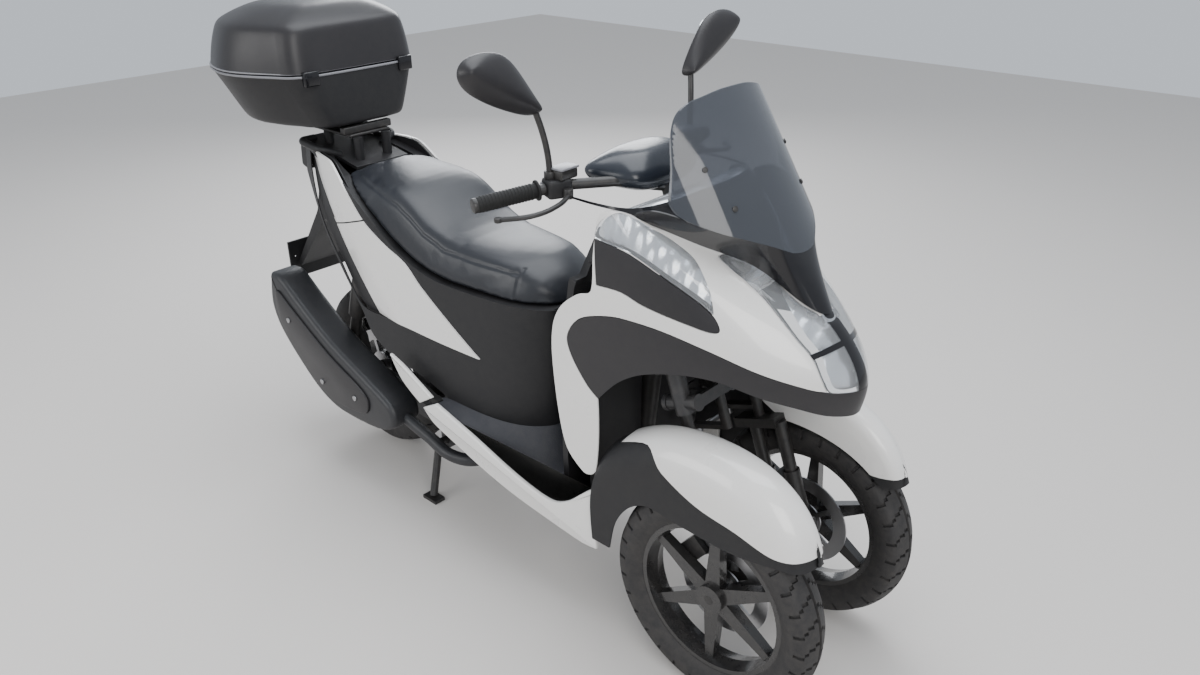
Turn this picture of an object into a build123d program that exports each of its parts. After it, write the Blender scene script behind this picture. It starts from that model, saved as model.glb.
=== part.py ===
from build123d import *
from math import cos, hypot, radians, sin, sqrt
import os

# Leaning three-wheel scooter, two wheels in front, parked on its centre stand with a top case behind.
# Millimetres. +X runs forward, +Y to the left, +Z up, and the floor is z = 0.
# Every station below is measured from the front axle; the finished model is then moved along X
# by AXLE_X, so that its origin lies under the middle of its box.

# Running gear
WHEELBASE = 1350.0
TRACK = 380.0
CASTER = 20.0
TRAIL = 68.0
FRONT_OD, FRONT_TYRE_W, FRONT_BEAD_D = 500.0, 90.0, 356.0
REAR_OD, REAR_TYRE_W, REAR_BEAD_D = 512.0, 130.0, 330.0
REAR_LIFT = 12.0
FRONT_RIM_W, REAR_RIM_W = 58.0, 90.0
RIM_WALL = 11.0
FLANGE, FLANGE_T = 6.0, 4.0
SPOKES = 6
DISC_D, DISC_T = 220.0, 4.0
REAR_DISC_D = 230.0
FRONT_AXLE_D, REAR_AXLE_D = 20.0, 22.0
REAR_HUB_W = 84.0
FIT = 0.3

# Steering and the leaning linkage, along the inclined steering axis from where it meets the floor
KINGPIN_Y = 118.0
LEG_SPREAD = 34.0
LEG_D, SLIDER_D = 30.0, 40.0
CROWN_W, CROWN_T = 516.0, 22.0
ROD_D, ROD_RISE = 12.0, 32.0
STEER_ARM = 86.0
ARM_RISE, ARM_GAP = 148.0, 80.0
KNUCKLE_DROP, KNUCKLE_RISE = 24.0, 28.0
HEAD_TOP_W, STEM_TOP_W = 985.0, 1106.0
ROD_W = CROWN_W + ROD_RISE
LOWER_ARM_W = CROWN_W + ARM_RISE
UPPER_ARM_W = LOWER_ARM_W + ARM_GAP
KNUCKLE_LOW_W, KNUCKLE_TOP_W = LOWER_ARM_W - KNUCKLE_DROP, UPPER_ARM_W + KNUCKLE_RISE
STEM_D, HEAD_D = 24.0, 50.0
STEER_LIMIT = 36.0

# Body
WALL = 3.5
FLOOR_HALF, FLOOR_TOP = 235.0, 294.0
CASE_WALL = 4.0
CASE_BACK = 1785.0
SEAT_LOW = 706.0

# The rear half's stations are laid out for a wheelbase of 1350 and move with the rear wheel
REAR_SHIFT = 1350.0 - WHEELBASE
AXLE_X = (CASE_BACK - REAR_SHIFT - FRONT_OD / 2) / 2

# Side stand's pivot on the left floor rail
SIDE_X, SIDE_Y, SIDE_Z = -700.0, 172.0, 180.0


def turn_y(angle):
    return Rotation(0, angle, 0)


def rounded(points, radii, plane):
    # Closed outline with each corner rounded by its own arc, placed on a plane.
    n = len(points)
    joints = []
    for i, (px, py) in enumerate(points):
        (ax, ay), (bx, by) = points[i - 1], points[(i + 1) % n]
        la, lb = hypot(ax - px, ay - py), hypot(bx - px, by - py)
        ux, uy, vx, vy = (ax - px) / la, (ay - py) / la, (bx - px) / lb, (by - py) / lb
        half = (1 - (ux * vx + uy * vy)) / 2
        sin_half, cos_half = sqrt(max(half, 1e-9)), sqrt(max(1 - half, 1e-9))
        reach = min(radii[i] * cos_half / sin_half, 0.45 * min(la, lb))
        radius = reach * sin_half / cos_half
        mx, my = ux + vx, uy + vy
        lm = hypot(mx, my)
        far = radius / sin_half - radius
        start = (px + ux * reach, py + uy * reach)
        middle = (px + mx / lm * far, py + my / lm * far)
        end = (px + vx * reach, py + vy * reach)
        joints.append([plane.from_local_coords((q[0], q[1], 0)) for q in (start, middle, end)])
    edges = []
    for i in range(n):
        edges.append(Edge.make_three_point_arc(*joints[i]))
        edges.append(Edge.make_line(joints[i][2], joints[(i + 1) % n][0]))
    return Wire(edges)


def inset(points, wall):
    # Each side of an anticlockwise outline moved inwards by the wall.
    n = len(points)
    result = []
    for i, (px, py) in enumerate(points):
        (ax, ay), (bx, by) = points[i - 1], points[(i + 1) % n]
        la, lb = hypot(px - ax, py - ay), hypot(bx - px, by - py)
        n1, n2 = ((ay - py) / la, (px - ax) / la), ((py - by) / lb, (bx - px) / lb)
        k = wall / (1 + n1[0] * n2[0] + n1[1] * n2[1])
        result.append((px + k * (n1[0] + n2[0]), py + k * (n1[1] + n2[1])))
    return result


def slab(points, radii, y0, y1):
    # Side outline (x, z) with rounded corners, from y0 to y1.
    plane = Plane((0, y0, 0), x_dir=(1, 0, 0), z_dir=(0, -1, 0))
    if isinstance(radii, (int, float)):
        radii = [radii] * len(points)
    return extrude(Face(rounded(points, radii, plane)), amount=y1 - y0, dir=(0, 1, 0))


def rod(a, b, d, d2=None):
    a, b = Vector(*a), Vector(*b)
    plane = Plane(a, z_dir=(b - a))
    if d2 is None:
        return extrude(plane * Circle(d / 2), amount=(b - a).length)
    low, high = plane * Circle(d / 2), Plane(b, z_dir=(b - a)) * Circle(d2 / 2)
    return loft([low, high])


def pipe(points, d, bend):
    radii = [bend] * (len(points) - 2)
    path = FilletPolyline(*points, radius=radii) if len(points) > 2 else Line(*points)
    start = Plane(points[0], z_dir=path % 0)
    return sweep(start * Circle(d / 2), path=path)


def rear_x(x):
    return x + REAR_SHIFT


def mirrored(shape):
    return shape.mirror(Plane.XZ)


def both(shape):
    return Compound(children=list(shape.solids()) + list(mirrored(shape).solids()))


def cross(x, outline, radii):
    # Section across the vehicle: (y, z) points on the plane at station x.
    return rounded(outline, radii, Plane((x, 0, 0), x_dir=(0, 1, 0), z_dir=(1, 0, 0)))


def level(z, outline, radii):
    # Section seen from above: (x, y) points at height z.
    return rounded(outline, radii, Plane((0, 0, z)))


steer_plane = Plane((TRAIL, 0, 0), x_dir=(cos(radians(CASTER)), 0, sin(radians(CASTER))),
                    z_dir=(-sin(radians(CASTER)), 0, cos(radians(CASTER))))


def on_axis(u, y, w):
    return steer_plane.from_local_coords((u, y, w))


AXLE_U = -TRAIL * cos(radians(CASTER)) + FRONT_OD / 2 * sin(radians(CASTER))
AXLE_W = TRAIL * sin(radians(CASTER)) + FRONT_OD / 2 * cos(radians(CASTER))

nodes = {}

# Wheels: tyre, cast rim and brake disc


def tyre(od, width, bead_d, rim_w):
    ro, rb, h, b = od / 2, bead_d / 2, width / 2, rim_w / 2
    rs = rb + 0.52 * (ro - rb)
    shoulder = rb + 0.8 * (ro - rb)
    crown = ThreePointArc((shoulder, -0.86 * h), (ro, 0), (shoulder, 0.86 * h))
    right = ThreePointArc((shoulder, 0.86 * h), (rs, h), (rb + FLANGE, b - FLANGE_T))
    left = ThreePointArc((rb + FLANGE, FLANGE_T - b), (rs, -h), (shoulder, -0.86 * h))
    bead = Polyline((rb + FLANGE, b - FLANGE_T), (rb, b - FLANGE_T), (rb, FLANGE_T - b), (rb + FLANGE, FLANGE_T - b))
    outline = make_face([crown, right, *bead.edges(), left])
    return revolve(Plane.XY * outline, Axis.Y)


def rim(bead_d, rim_w, hub_d, hub_w, spokes, spoke_y, axle_d):
    rb, b = bead_d / 2 - FIT / 2, rim_w / 2
    barrel = revolve(Plane.XY * Polygon(
        (rb - RIM_WALL, -b), (rb + FLANGE, -b), (rb + FLANGE, FLANGE_T - b), (rb, FLANGE_T - b), (rb, b - FLANGE_T),
        (rb + FLANGE, b - FLANGE_T), (rb + FLANGE, b), (rb - RIM_WALL, b), (rb - RIM_WALL - 8, 0),
        align=None), Axis.Y)
    hub = revolve(Plane.XY * Polygon((0, -hub_w / 2), (hub_d / 2, -hub_w / 2), (hub_d / 2, hub_w / 2),
                                     (0, hub_w / 2), align=None), Axis.Y)
    whole = barrel + hub
    for i in range(spokes):
        blade = loft([Plane((0, spoke_y, hub_d / 2 - 6)) * Rectangle(38, 26),
                      Plane((0, spoke_y, rb - RIM_WALL - 2)) * Rectangle(20, 22)])
        whole = whole + turn_y(i * 360 / spokes) * blade
    return whole - rod((0, -hub_w, 0), (0, hub_w, 0), axle_d + 2 * FIT)


def disc(d, y0):
    ring = Plane((0, y0, 0), x_dir=(1, 0, 0), z_dir=(0, 1, 0)) * (Circle(d / 2) - Circle(d / 2 - 32))
    carrier = Plane((0, y0, 0), x_dir=(1, 0, 0), z_dir=(0, 1, 0)) * (Circle(45) - Circle(18))
    plate = extrude(ring, DISC_T) + extrude(carrier, DISC_T)
    for i in range(5):
        arm = Plane((0, y0, 0), x_dir=(1, 0, 0), z_dir=(0, 1, 0)) * Pos(d / 4 + 10, 0) * Rectangle(d / 2 - 50, 12)
        plate = plate + turn_y(36 + i * 72) * extrude(arm, DISC_T)
    return plate


HUB_W = 56.0
FENDER_IN, FENDER_OUT = TRACK / 2 - 52.0, TRACK / 2 + 54.0
front_at = Pos(0, TRACK / 2, FRONT_OD / 2)
front_tyre = front_at * tyre(FRONT_OD, FRONT_TYRE_W, FRONT_BEAD_D, FRONT_RIM_W)
front_rim = front_at * rim(FRONT_BEAD_D, FRONT_RIM_W, 64, HUB_W, SPOKES, 4, FRONT_AXLE_D)
front_disc = front_at * disc(DISC_D, -HUB_W / 2 - DISC_T)
nodes["front_tyre_left"], nodes["front_tyre_right"] = front_tyre, mirrored(front_tyre)
nodes["front_rim_left"], nodes["front_rim_right"] = front_rim, mirrored(front_rim)
nodes["front_disc_left"], nodes["front_disc_right"] = front_disc, mirrored(front_disc)

REAR_Z = REAR_OD / 2 + REAR_LIFT
rear_at = Pos(-WHEELBASE, 0, REAR_Z)
nodes["rear_tyre"] = rear_at * tyre(REAR_OD, REAR_TYRE_W, REAR_BEAD_D, REAR_RIM_W)
nodes["rear_rim"] = rear_at * rim(REAR_BEAD_D, REAR_RIM_W, 90, REAR_HUB_W, SPOKES, 0, REAR_AXLE_D)
nodes["rear_disc"] = rear_at * disc(REAR_DISC_D, -REAR_HUB_W / 2 - DISC_T)

# Fork of the left front wheel: two legs side by side on the inner side of the wheel, and the axle

leg_y = KINGPIN_Y - 6
stem = rod(on_axis(0, KINGPIN_Y, CROWN_W), on_axis(0, KINGPIN_Y, KNUCKLE_TOP_W + 6), STEM_D)
crown = steer_plane * Pos(0, (leg_y + KINGPIN_Y) / 2, CROWN_W + CROWN_T / 2) * Box(
    2 * LEG_SPREAD + LEG_D + 14, 2 * (FENDER_IN - FIT) - leg_y - KINGPIN_Y, CROWN_T)
fork = stem + crown
for side in (-1, 1):
    u = AXLE_U + side * LEG_SPREAD
    fork = fork + rod(on_axis(u, leg_y, AXLE_W - 10), on_axis(u, leg_y, AXLE_W + 150), SLIDER_D)
    fork = fork + rod(on_axis(u, leg_y, AXLE_W + 140), on_axis(u, leg_y, CROWN_W + CROWN_T / 2), LEG_D)
fork = fork + steer_plane * Pos(AXLE_U, leg_y, AXLE_W) * Box(2 * LEG_SPREAD + SLIDER_D, SLIDER_D, 46)
fork = fork + rod((0, leg_y, FRONT_OD / 2), (0, TRACK / 2 - HUB_W / 2 - DISC_T - FIT, FRONT_OD / 2), 30)
fork = fork + rod((0, leg_y, FRONT_OD / 2), (0, TRACK / 2 + HUB_W / 2, FRONT_OD / 2), FRONT_AXLE_D)
arm_low = on_axis(-STEER_ARM, KINGPIN_Y, ROD_W + ROD_D / 2 + 1)
fork = fork + steer_plane * Pos(-STEER_ARM / 2, KINGPIN_Y, ROD_W + 13) * Box(STEER_ARM, 22, 10)
fork = fork + rod(arm_low, on_axis(-STEER_ARM, KINGPIN_Y, ROD_W + 18), 26)
caliper_at = Pos(-78, TRACK / 2 - HUB_W / 2 - DISC_T / 2, FRONT_OD / 2 + 66)
caliper = caliper_at * turn_y(40) * (Box(46, 36, 66) - Pos(16, 0, 0) * Box(50, DISC_T + 3, 70))
bracket = rod((-84, KINGPIN_Y + 26, FRONT_OD / 2 + 72), (-20, leg_y, FRONT_OD / 2 + 50), 24)
fork = fork + bracket + caliper
nodes["fork_left"], nodes["fork_right"] = fork, mirrored(fork)

# Front mudguard in two shells: a painted beak over a dark skirt, both hollow underneath

fender_side = [(-232, 548), (-205, 580), (-110, 603), (20, 604), (120, 580), (190, 530), (222, 480), (212, 458),
               (150, 452), (70, 474), (-25, 492), (-115, 530), (-190, 572)]
fender_round = [8, 16, 60, 60, 60, 40, 14, 10, 30, 60, 60, 40, 10]
skirt_side = [(-232, 546), (-188, 570), (-115, 528), (-25, 490), (70, 472), (150, 450), (212, 456), (214, 440),
              (150, 428), (60, 418), (-60, 424), (-150, 428), (-200, 400), (-248, 330), (-262, 268), (-305, 268),
              (-300, 380), (-280, 470)]
skirt_round = [8, 10, 40, 60, 60, 30, 6, 6, 30, 60, 60, 60, 60, 40, 6, 6, 60, 60]
FENDER_MID = (FENDER_IN + FENDER_OUT) / 2
HALF = (FENDER_OUT - FENDER_IN) / 2


def fender_hood(grow):
    # Arched tunnel over the tyre, seen from the front; grow widens it.
    h = HALF + grow
    outline = [(FENDER_MID - h, 200), (FENDER_MID + h, 200), (FENDER_MID + h, 540 + grow),
               (FENDER_MID + 0.55 * h, 606 + grow), (FENDER_MID - 0.45 * h, 606 + grow),
               (FENDER_MID - h, 570 + grow)]
    face = Face(cross(-340, outline, [1, 1, 26, 30, 30, 26]))
    return extrude(face, amount=620, dir=(1, 0, 0))


fender_full = slab(fender_side, fender_round, FENDER_IN, FENDER_OUT) & fender_hood(0)
fender_hollow = slab([(-260, 480), (-190, 560), (-110, 596), (20, 597), (116, 573), (182, 524), (208, 470),
                      (206, 440), (60, 300), (-260, 300)], [10, 30, 60, 60, 60, 40, 10, 10, 40, 10],
                     FENDER_IN - 1, FENDER_OUT - 4) & fender_hood(-4)
fender = fender_full - fender_hollow
skirt_full = slab(skirt_side, skirt_round, FENDER_IN, FENDER_OUT) & fender_hood(0)
skirt = skirt_full - (fender_hood(-4) & slab([(-296, 180), (-291, 380), (-272, 468), (-226, 544), (240, 700),
                                               (300, 180)], [4, 60, 60, 20, 4, 4], FENDER_IN - 1, FENDER_OUT - 4))
nodes["fender_left"], nodes["fender_right"] = fender, mirrored(fender)
nodes["skirt_left"], nodes["skirt_right"] = skirt, mirrored(skirt)

# Leaning linkage: two cross arms pivoted on the head pipe, and a knuckle at each end

boss_d = 36.0


def cross_arm(w):
    plate_u = 40.0
    arm = None
    for side in (-1, 1):
        beam = steer_plane * Pos(side * plate_u, 0, w) * Box(10, 2 * KINGPIN_Y, 26)
        piece = beam
        for y in (-KINGPIN_Y, 0, KINGPIN_Y):
            a = on_axis(side * (plate_u - 5), y, w)
            b = on_axis(side * (plate_u + 5), y, w)
            piece = piece + rod(a, b, boss_d)
        arm = piece if arm is None else arm + piece
    for y in (-KINGPIN_Y / 2, KINGPIN_Y / 2):
        arm = arm + rod(on_axis(-plate_u, y, w), on_axis(plate_u, y, w), 18)
    return arm


nodes["lower_arm"], nodes["upper_arm"] = cross_arm(LOWER_ARM_W), cross_arm(UPPER_ARM_W)
housing = rod(on_axis(0, KINGPIN_Y, KNUCKLE_LOW_W), on_axis(0, KINGPIN_Y, KNUCKLE_TOP_W), 40)
for w in (LOWER_ARM_W, UPPER_ARM_W):
    housing = housing + rod(on_axis(-35 + FIT, KINGPIN_Y, w), on_axis(35 - FIT, KINGPIN_Y, w), 30)
housing = housing - rod(on_axis(0, KINGPIN_Y, KNUCKLE_LOW_W - 5), on_axis(0, KINGPIN_Y, KNUCKLE_TOP_W + 10),
                        STEM_D + 2 * FIT)
nodes["knuckles"] = both(housing)

# Tie rod between the three steering arms

rod_left, rod_right = on_axis(-STEER_ARM, KINGPIN_Y, ROD_W), on_axis(-STEER_ARM, -KINGPIN_Y, ROD_W)
tie = rod(rod_left, rod_right, ROD_D)
for y in (-KINGPIN_Y, 0, KINGPIN_Y):
    tie = tie + rod(on_axis(-STEER_ARM, y, ROD_W - 7), on_axis(-STEER_ARM, y, ROD_W + ROD_D / 2 + 1 - FIT), 20)
nodes["tie_rod"] = tie

# Frame: head pipe, spine to the floor, floor rails and seat rails

head = rod(on_axis(0, 0, LOWER_ARM_W - 24), on_axis(0, 0, HEAD_TOP_W), HEAD_D)
for w in (LOWER_ARM_W, UPPER_ARM_W):
    head = head + rod(on_axis(-35 + FIT, 0, w), on_axis(35 - FIT, 0, w), 30)
SPINE_D, SPINE_BEND = 44.0, 60.0
spine_line = [on_axis(-12, 0, 860), Vector(-330, 0, 640), Vector(-374, 0, 250), Vector(-440, 0, 200)]
spine = pipe(spine_line, SPINE_D, SPINE_BEND)
spine_room = pipe(spine_line, SPINE_D + 12, SPINE_BEND)
frame = head + spine
rail_rear = [(-735, 150, 205), (-850, 150, 440), (-1130, 112, 620), (-1360, 95, 800), (-1505, 80, 880)]
rail_line = [Vector(-372, 8, 300), Vector(-420, 150, 205)] + [Vector(rear_x(x), y, z) for x, y, z in rail_rear]
RAIL_D = 30.0
rail = pipe(rail_line, RAIL_D, 50)
frame = frame + rail + mirrored(rail)
TAIL_BAR_X, TAIL_BAR_Z, FRONT_BAR_X, FRONT_BAR_Z = -1480.0, 866.0, -1340.0, 784.0
frame = frame + rod((-420, -150, 205), (-420, 150, 205), 26)
for x, z, y in ((-700, 205, 150), (-1130, 620, 110), (FRONT_BAR_X, FRONT_BAR_Z, 94), (TAIL_BAR_X, TAIL_BAR_Z, 80)):
    frame = frame + rod((rear_x(x), -y, z), (rear_x(x), y, z), 26)
frame = frame + rod((rear_x(SIDE_X), 140, SIDE_Z), (rear_x(SIDE_X), SIDE_Y - FIT, SIDE_Z), 30)
frame = frame - rod(on_axis(0, 0, LOWER_ARM_W - 40), on_axis(0, 0, HEAD_TOP_W + 10), STEM_D + 2 * FIT)
nodes["frame"] = frame

# Power unit that swings with the rear wheel: engine, drive case, rear arm and silencer

ENGINE_X0, ENGINE_X1, ENGINE_Z0, ENGINE_Z1 = -992.0, -752.0, 180.0, 400.0
ENGINE_Y0, ENGINE_Y1 = -95.0, 80.0
nodes["engine_block"] = slab([(ENGINE_X0, ENGINE_Z0), (ENGINE_X1, ENGINE_Z0), (ENGINE_X1, ENGINE_Z1),
                              (ENGINE_X0, ENGINE_Z1)], 12, ENGINE_Y0, ENGINE_Y1)
case_low = slab([(-1440, 330), (-1440, 205), (-1280, 190), (-1080, 168), (-880, 168), (-880, 400), (-1080, 400),
                 (-1280, 345)], [60, 60, 40, 30, 60, 60, 60, 60], ENGINE_Y1 + FIT, 158)
CASE_LUG_Y = 128.0
nodes["drive_case"] = case_low + slab([(-1410, 300), (-1340, 300), (-1362, 392), (-1398, 392)], [4, 4, 16, 16],
                                      CASE_LUG_Y - 24, CASE_LUG_Y - FIT)
REAR_ARM_Y = -100.0
arm = slab([(-1395, 300), (-1395, 236), (ENGINE_X0 - FIT, 205), (ENGINE_X0 - FIT, 290)], [30, 30, 6, 6],
           REAR_ARM_Y, REAR_ARM_Y + 22)
axle_x = -WHEELBASE - REAR_SHIFT
arm = arm + rod((axle_x, REAR_ARM_Y + 22, REAR_Z), (axle_x, -REAR_HUB_W / 2 - DISC_T - FIT, REAR_Z), 34)
arm = arm + rod((axle_x, REAR_ARM_Y + 22, REAR_Z), (axle_x, ENGINE_Y1, REAR_Z), REAR_AXLE_D)
SHOCK_LOW, SHOCK_TOP = (-1380.0, 372.0), (-1240.0, 706.0)
lug_side = [(-1400, 270), (-1340, 270), (-1362, 392), (-1398, 392)]
nodes["rear_arm"] = arm + slab(lug_side, [4, 4, 16, 16], REAR_ARM_Y, REAR_ARM_Y + 22)
silencer_side = [(-1612, 548), (-1562, 556), (-1330, 424), (-1130, 340), (-1050, 300), (-1050, 240), (-1120, 190),
                 (-1320, 150), (-1455, 168), (-1600, 320), (-1628, 430)]
silencer_round = [10, 12, 80, 60, 20, 20, 40, 60, 60, 60, 60]
SILENCER_Y0, SILENCER_Y1 = -236.0, -142.0
silencer = slab(silencer_side, silencer_round, SILENCER_Y0, SILENCER_Y1)
cavity = slab(inset(silencer_side[::-1], 5)[::-1], silencer_round, SILENCER_Y0 + 5, SILENCER_Y1 - 5)
outlet = rod((-1700, -189, 470), (-1560, -189, 470), 34)
header = pipe([Vector(-800, ENGINE_Y0 - FIT, 215), Vector(-800, -140, 215), Vector(-860, -180, 215),
               Vector(-1058, -188, 268)], 34, 26)
nodes["silencer"] = (silencer - cavity - outlet) + (header - silencer)
shocks = []
RAIL_SIDE = 119.3
for low_y, top_y in ((CASE_LUG_Y + 12, RAIL_SIDE + 12), (REAR_ARM_Y - FIT - 12, -RAIL_SIDE - 12)):
    low = Vector(SHOCK_LOW[0], low_y, SHOCK_LOW[1])
    top = Vector(SHOCK_TOP[0], top_y, SHOCK_TOP[1])
    shock = rod(low + (top - low) * 0.08, low + (top - low) * 0.45, 34)
    shock = shock + rod(low + (top - low) * 0.3, low + (top - low) * 0.9, 50)
    for end in (low, top):
        shock = shock + rod(end - Vector(0, 12, 0), end + Vector(0, 12, 0), 32)
        shock = shock + rod(end, (low + top) / 2, 20)
    shocks.append(shock)
nodes["rear_shocks"] = Compound(children=shocks)

# Centre stand: two legs on a cross tube under the engine

STAND_X, STAND_Z = -1030.0, 150.0
FOOT_X, FOOT_Y = -1003.0, 158.0
stand = rod((STAND_X, -112, STAND_Z), (STAND_X, 112, STAND_Z), 24)
for side in (-1, 1):
    stand = stand + rod((STAND_X, side * 102, STAND_Z), (FOOT_X, side * FOOT_Y, 12), 22)
    stand = stand + Pos(FOOT_X, side * FOOT_Y, 5) * Box(56, 34, 10)
stand = stand + rod((FOOT_X - 5, 112, 70), (FOOT_X - 60, 205, 60), 14)
nodes["centre_stand"] = stand
hanger = slab([(STAND_X - 22, STAND_Z - 22), (STAND_X + 18, STAND_Z - 22), (ENGINE_X0 - FIT, ENGINE_Z0 + 4),
               (ENGINE_X0 - FIT, ENGINE_Z0 + 60), (STAND_X - 22, STAND_Z + 24)], [18, 10, 4, 4, 18], -74, 74)
nodes["stand_hanger"] = hanger - rod((STAND_X, -120, STAND_Z), (STAND_X, 120, STAND_Z), 24 + 2 * FIT)

# Side stand, folded up along the left side

side_stand = rod((SIDE_X, SIDE_Y, SIDE_Z), (SIDE_X, SIDE_Y + 18, SIDE_Z), 30)
side_stand = side_stand + rod((SIDE_X, SIDE_Y + 9, SIDE_Z), (SIDE_X - 160, SIDE_Y + 14, SIDE_Z), 18)
side_stand = side_stand + Pos(SIDE_X - 162, SIDE_Y + 14, SIDE_Z) * Box(12, 36, 44)
nodes["side_stand"] = side_stand

# Floor: mats and side strips

floor_side = [(-354, FLOOR_TOP), (-640, FLOOR_TOP), (rear_x(-960), 372), (rear_x(-960), 340), (-640, 266), (-354, 258)]
floor = slab(floor_side, [6, 60, 4, 4, 60, 6], -FLOOR_HALF + 24, FLOOR_HALF - 24)
strip = slab([(-340, 232), (-345, 292), (-440, 316), (-640, 330), (rear_x(-905), 398), (rear_x(-915), 345),
              (-640, 262), (-440, 236)], [20, 20, 60, 60, 3, 3, 60, 60], FLOOR_HALF - 24, FLOOR_HALF)
rear_strip = slab([(rear_x(x), z) for x, z in ((-890, 390), (-1085, 452), (-1078, 436), (-900, 350))],
                  [3, 6, 6, 3], FLOOR_HALF - 24, FLOOR_HALF - 4)
nodes["floor_strips"] = both(strip + rear_strip)

# Front body form: sections seen from above, from the chin up to the dash

front_levels = (
    # height, then half outline from the nose tip back: (x, y) at tip, front corner, cheek, shoulder, rear edge
    (655, (156, 150, 20), (110, 60), (30, 128), (-120, 190), (-330, 214)),
    (745, (196, 190, 30), (140, 100), (30, 165), (-120, 208), (-330, 226)),
    (860, (108, 100, 24), (60, 96), (-20, 165), (-140, 212), (-330, 232)),
    (960, (-60, -64, 30), (-80, 110), (-120, 175), (-180, 214), (-330, 230)),
    (1040, (-200, -204, 30), (-205, 110), (-220, 165), (-240, 200), (-330, 216)),
)


def front_outline(row, wall):
    z, (tip, corner_x, corner_y), front, cheek, shoulder, rear = row
    right = [(corner_x, -corner_y)] + [(x, -y) for x, y in (front, cheek, shoulder, rear)]
    points = right[::-1] + [(x, -y) for x, y in right]
    return inset(points, wall) if wall else points


def front_form(wall):
    wires = []
    for row in front_levels:
        points = front_outline(row, wall)
        wires.append(level(row[0], points, [8, 40, 40, 30, 20, 20, 30, 40, 40, 8]))
    return Solid.make_loft(wires, ruled=True)


COWL_REAR, SHIELD_Y = -325.0, 205.0
front_solid = front_form(0)
front_shell = front_solid - front_form(WALL)
front_shell = front_shell - Pos(COWL_REAR - 15, 0, 850) * Box(30, 600, 600)
arch_line = [(-301, 625), (-257, 674), (-203, 711), (-137, 734), (-75, 744), (-19, 741), (40, 722), (98, 702),
             (150, 680)]
front_shell = front_shell - slab([(-420, 600), (260, 600), (260, 664)] + arch_line[::-1], 4, -300, 300)
chin_cut = slab([(260, 600), (260, 734), (136, 742), (98, 755), (39, 774), (-49, 804), (-147, 826), (-240, 831),
                 (-294, 820), (-400, 796), (-400, 600)], [2, 2, 2, 30, 60, 60, 60, 60, 60, 2, 2], -300, 300)
lens_cut = slab([(-302, 1024), (-302, 988), (-228, 981), (-160, 957), (-93, 920), (-62, 900), (-76, 930), (-109, 960),
                 (-151, 990), (-197, 1016), (-250, 1036)], [8, 8, 40, 40, 20, 4, 30, 40, 40, 40, 8], 112, 300)
badge_cut = slab([(-302, 978), (-302, 890), (-240, 890), (-190, 872), (-99, 853), (-52, 843), (-36, 850), (-50, 868),
                  (-80, 890), (-125, 916), (-223, 963)], [8, 8, 20, 30, 30, 8, 4, 20, 30, 40, 40], 112, 300)
lens_cut, badge_cut = lens_cut + mirrored(lens_cut), badge_cut + mirrored(badge_cut)
lamp_cut = slab([(80, 852), (185, 712), (260, 712), (260, 880), (90, 880)], 3, -112, 112)
upper_shell = front_shell - chin_cut
nodes["chin_cowl"] = front_shell & chin_cut
nodes["side_lenses"] = upper_shell & lens_cut
nodes["nose_panels"] = upper_shell & badge_cut
nodes["headlamp"] = upper_shell & lamp_cut
nodes["nose_cowl"] = upper_shell - lens_cut - badge_cut - lamp_cut

# Leg shield: painted side wings around dark recessed panels, inner panel and wheel-arch wall

WING_X = COWL_REAR - FIT
wing_side = [(WING_X, 864), (-350, 852), (-400, 812), (-425, 762), (-428, 690), (-412, 560), (-390, 470),
             (-345, 424), (-310, 440), (-303, 530), (-301, 625), (-330, 655), (-366, 700), (-380, 744),
             (-366, 776), (WING_X, 800)]
wing_round = [4, 30, 40, 40, 60, 60, 40, 14, 14, 40, 4, 30, 30, 20, 20, 4]
wing = slab(wing_side, wing_round, SHIELD_Y + FIT, 236)
nodes["leg_shields"] = both(wing)
insert_side = [(COWL_REAR, 650), (COWL_REAR, 800), (-366, 776), (-380, 744), (-366, 700), (-330, 655)]
insert = slab(inset(insert_side, FIT), [4, 4, 20, 20, 30, 4], 200 + FIT, 226)
nodes["shield_panels"] = both(insert)
inner_front = [(-408, FLOOR_TOP + FIT), (-414, 420), (-408, 700), (-384, 850), (-324, 985)]
inner_rear = [(-424, FLOOR_TOP + FIT), (-430, 420), (-426, 700), (-400, 860), (-340, 985)]
inner = slab(inner_front + inner_rear[::-1], [4, 60, 60, 60, 4, 4, 60, 60, 60, 4], -SHIELD_Y, SHIELD_Y)
nodes["inner_shield"] = inner
arch = slab([(-352, 250), (-348, 250), (-344, 640), (-250, 688), (-250, 694), (-348, 645)], [1, 1, 20, 1, 1, 20],
            -200, 200)
nodes["arch_panel"] = arch - spine_room

# Screen: one curved sheet leaning back, a dark base on four lugs below and the clear pane above it

SCREEN_R, SCREEN_T = 215.0, 4.0
SCREEN_SPLIT = 1020.0
SCREEN_FOOT_X, SCREEN_FOOT_Z = 112.0, 850.0
SCREEN_TOP_X, SCREEN_TOP_Z = -141.0, 1246.0


def screen_round(radius):
    # Leaning cylinder that the sheet's outer or inner face follows.
    low = Plane((SCREEN_FOOT_X - SCREEN_R, 0, SCREEN_FOOT_Z)) * Circle(radius)
    high = Plane((SCREEN_TOP_X - SCREEN_R, 0, SCREEN_TOP_Z)) * Circle(radius)
    return Solid.make_loft([low.wire(), high.wire()], ruled=True)


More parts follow.
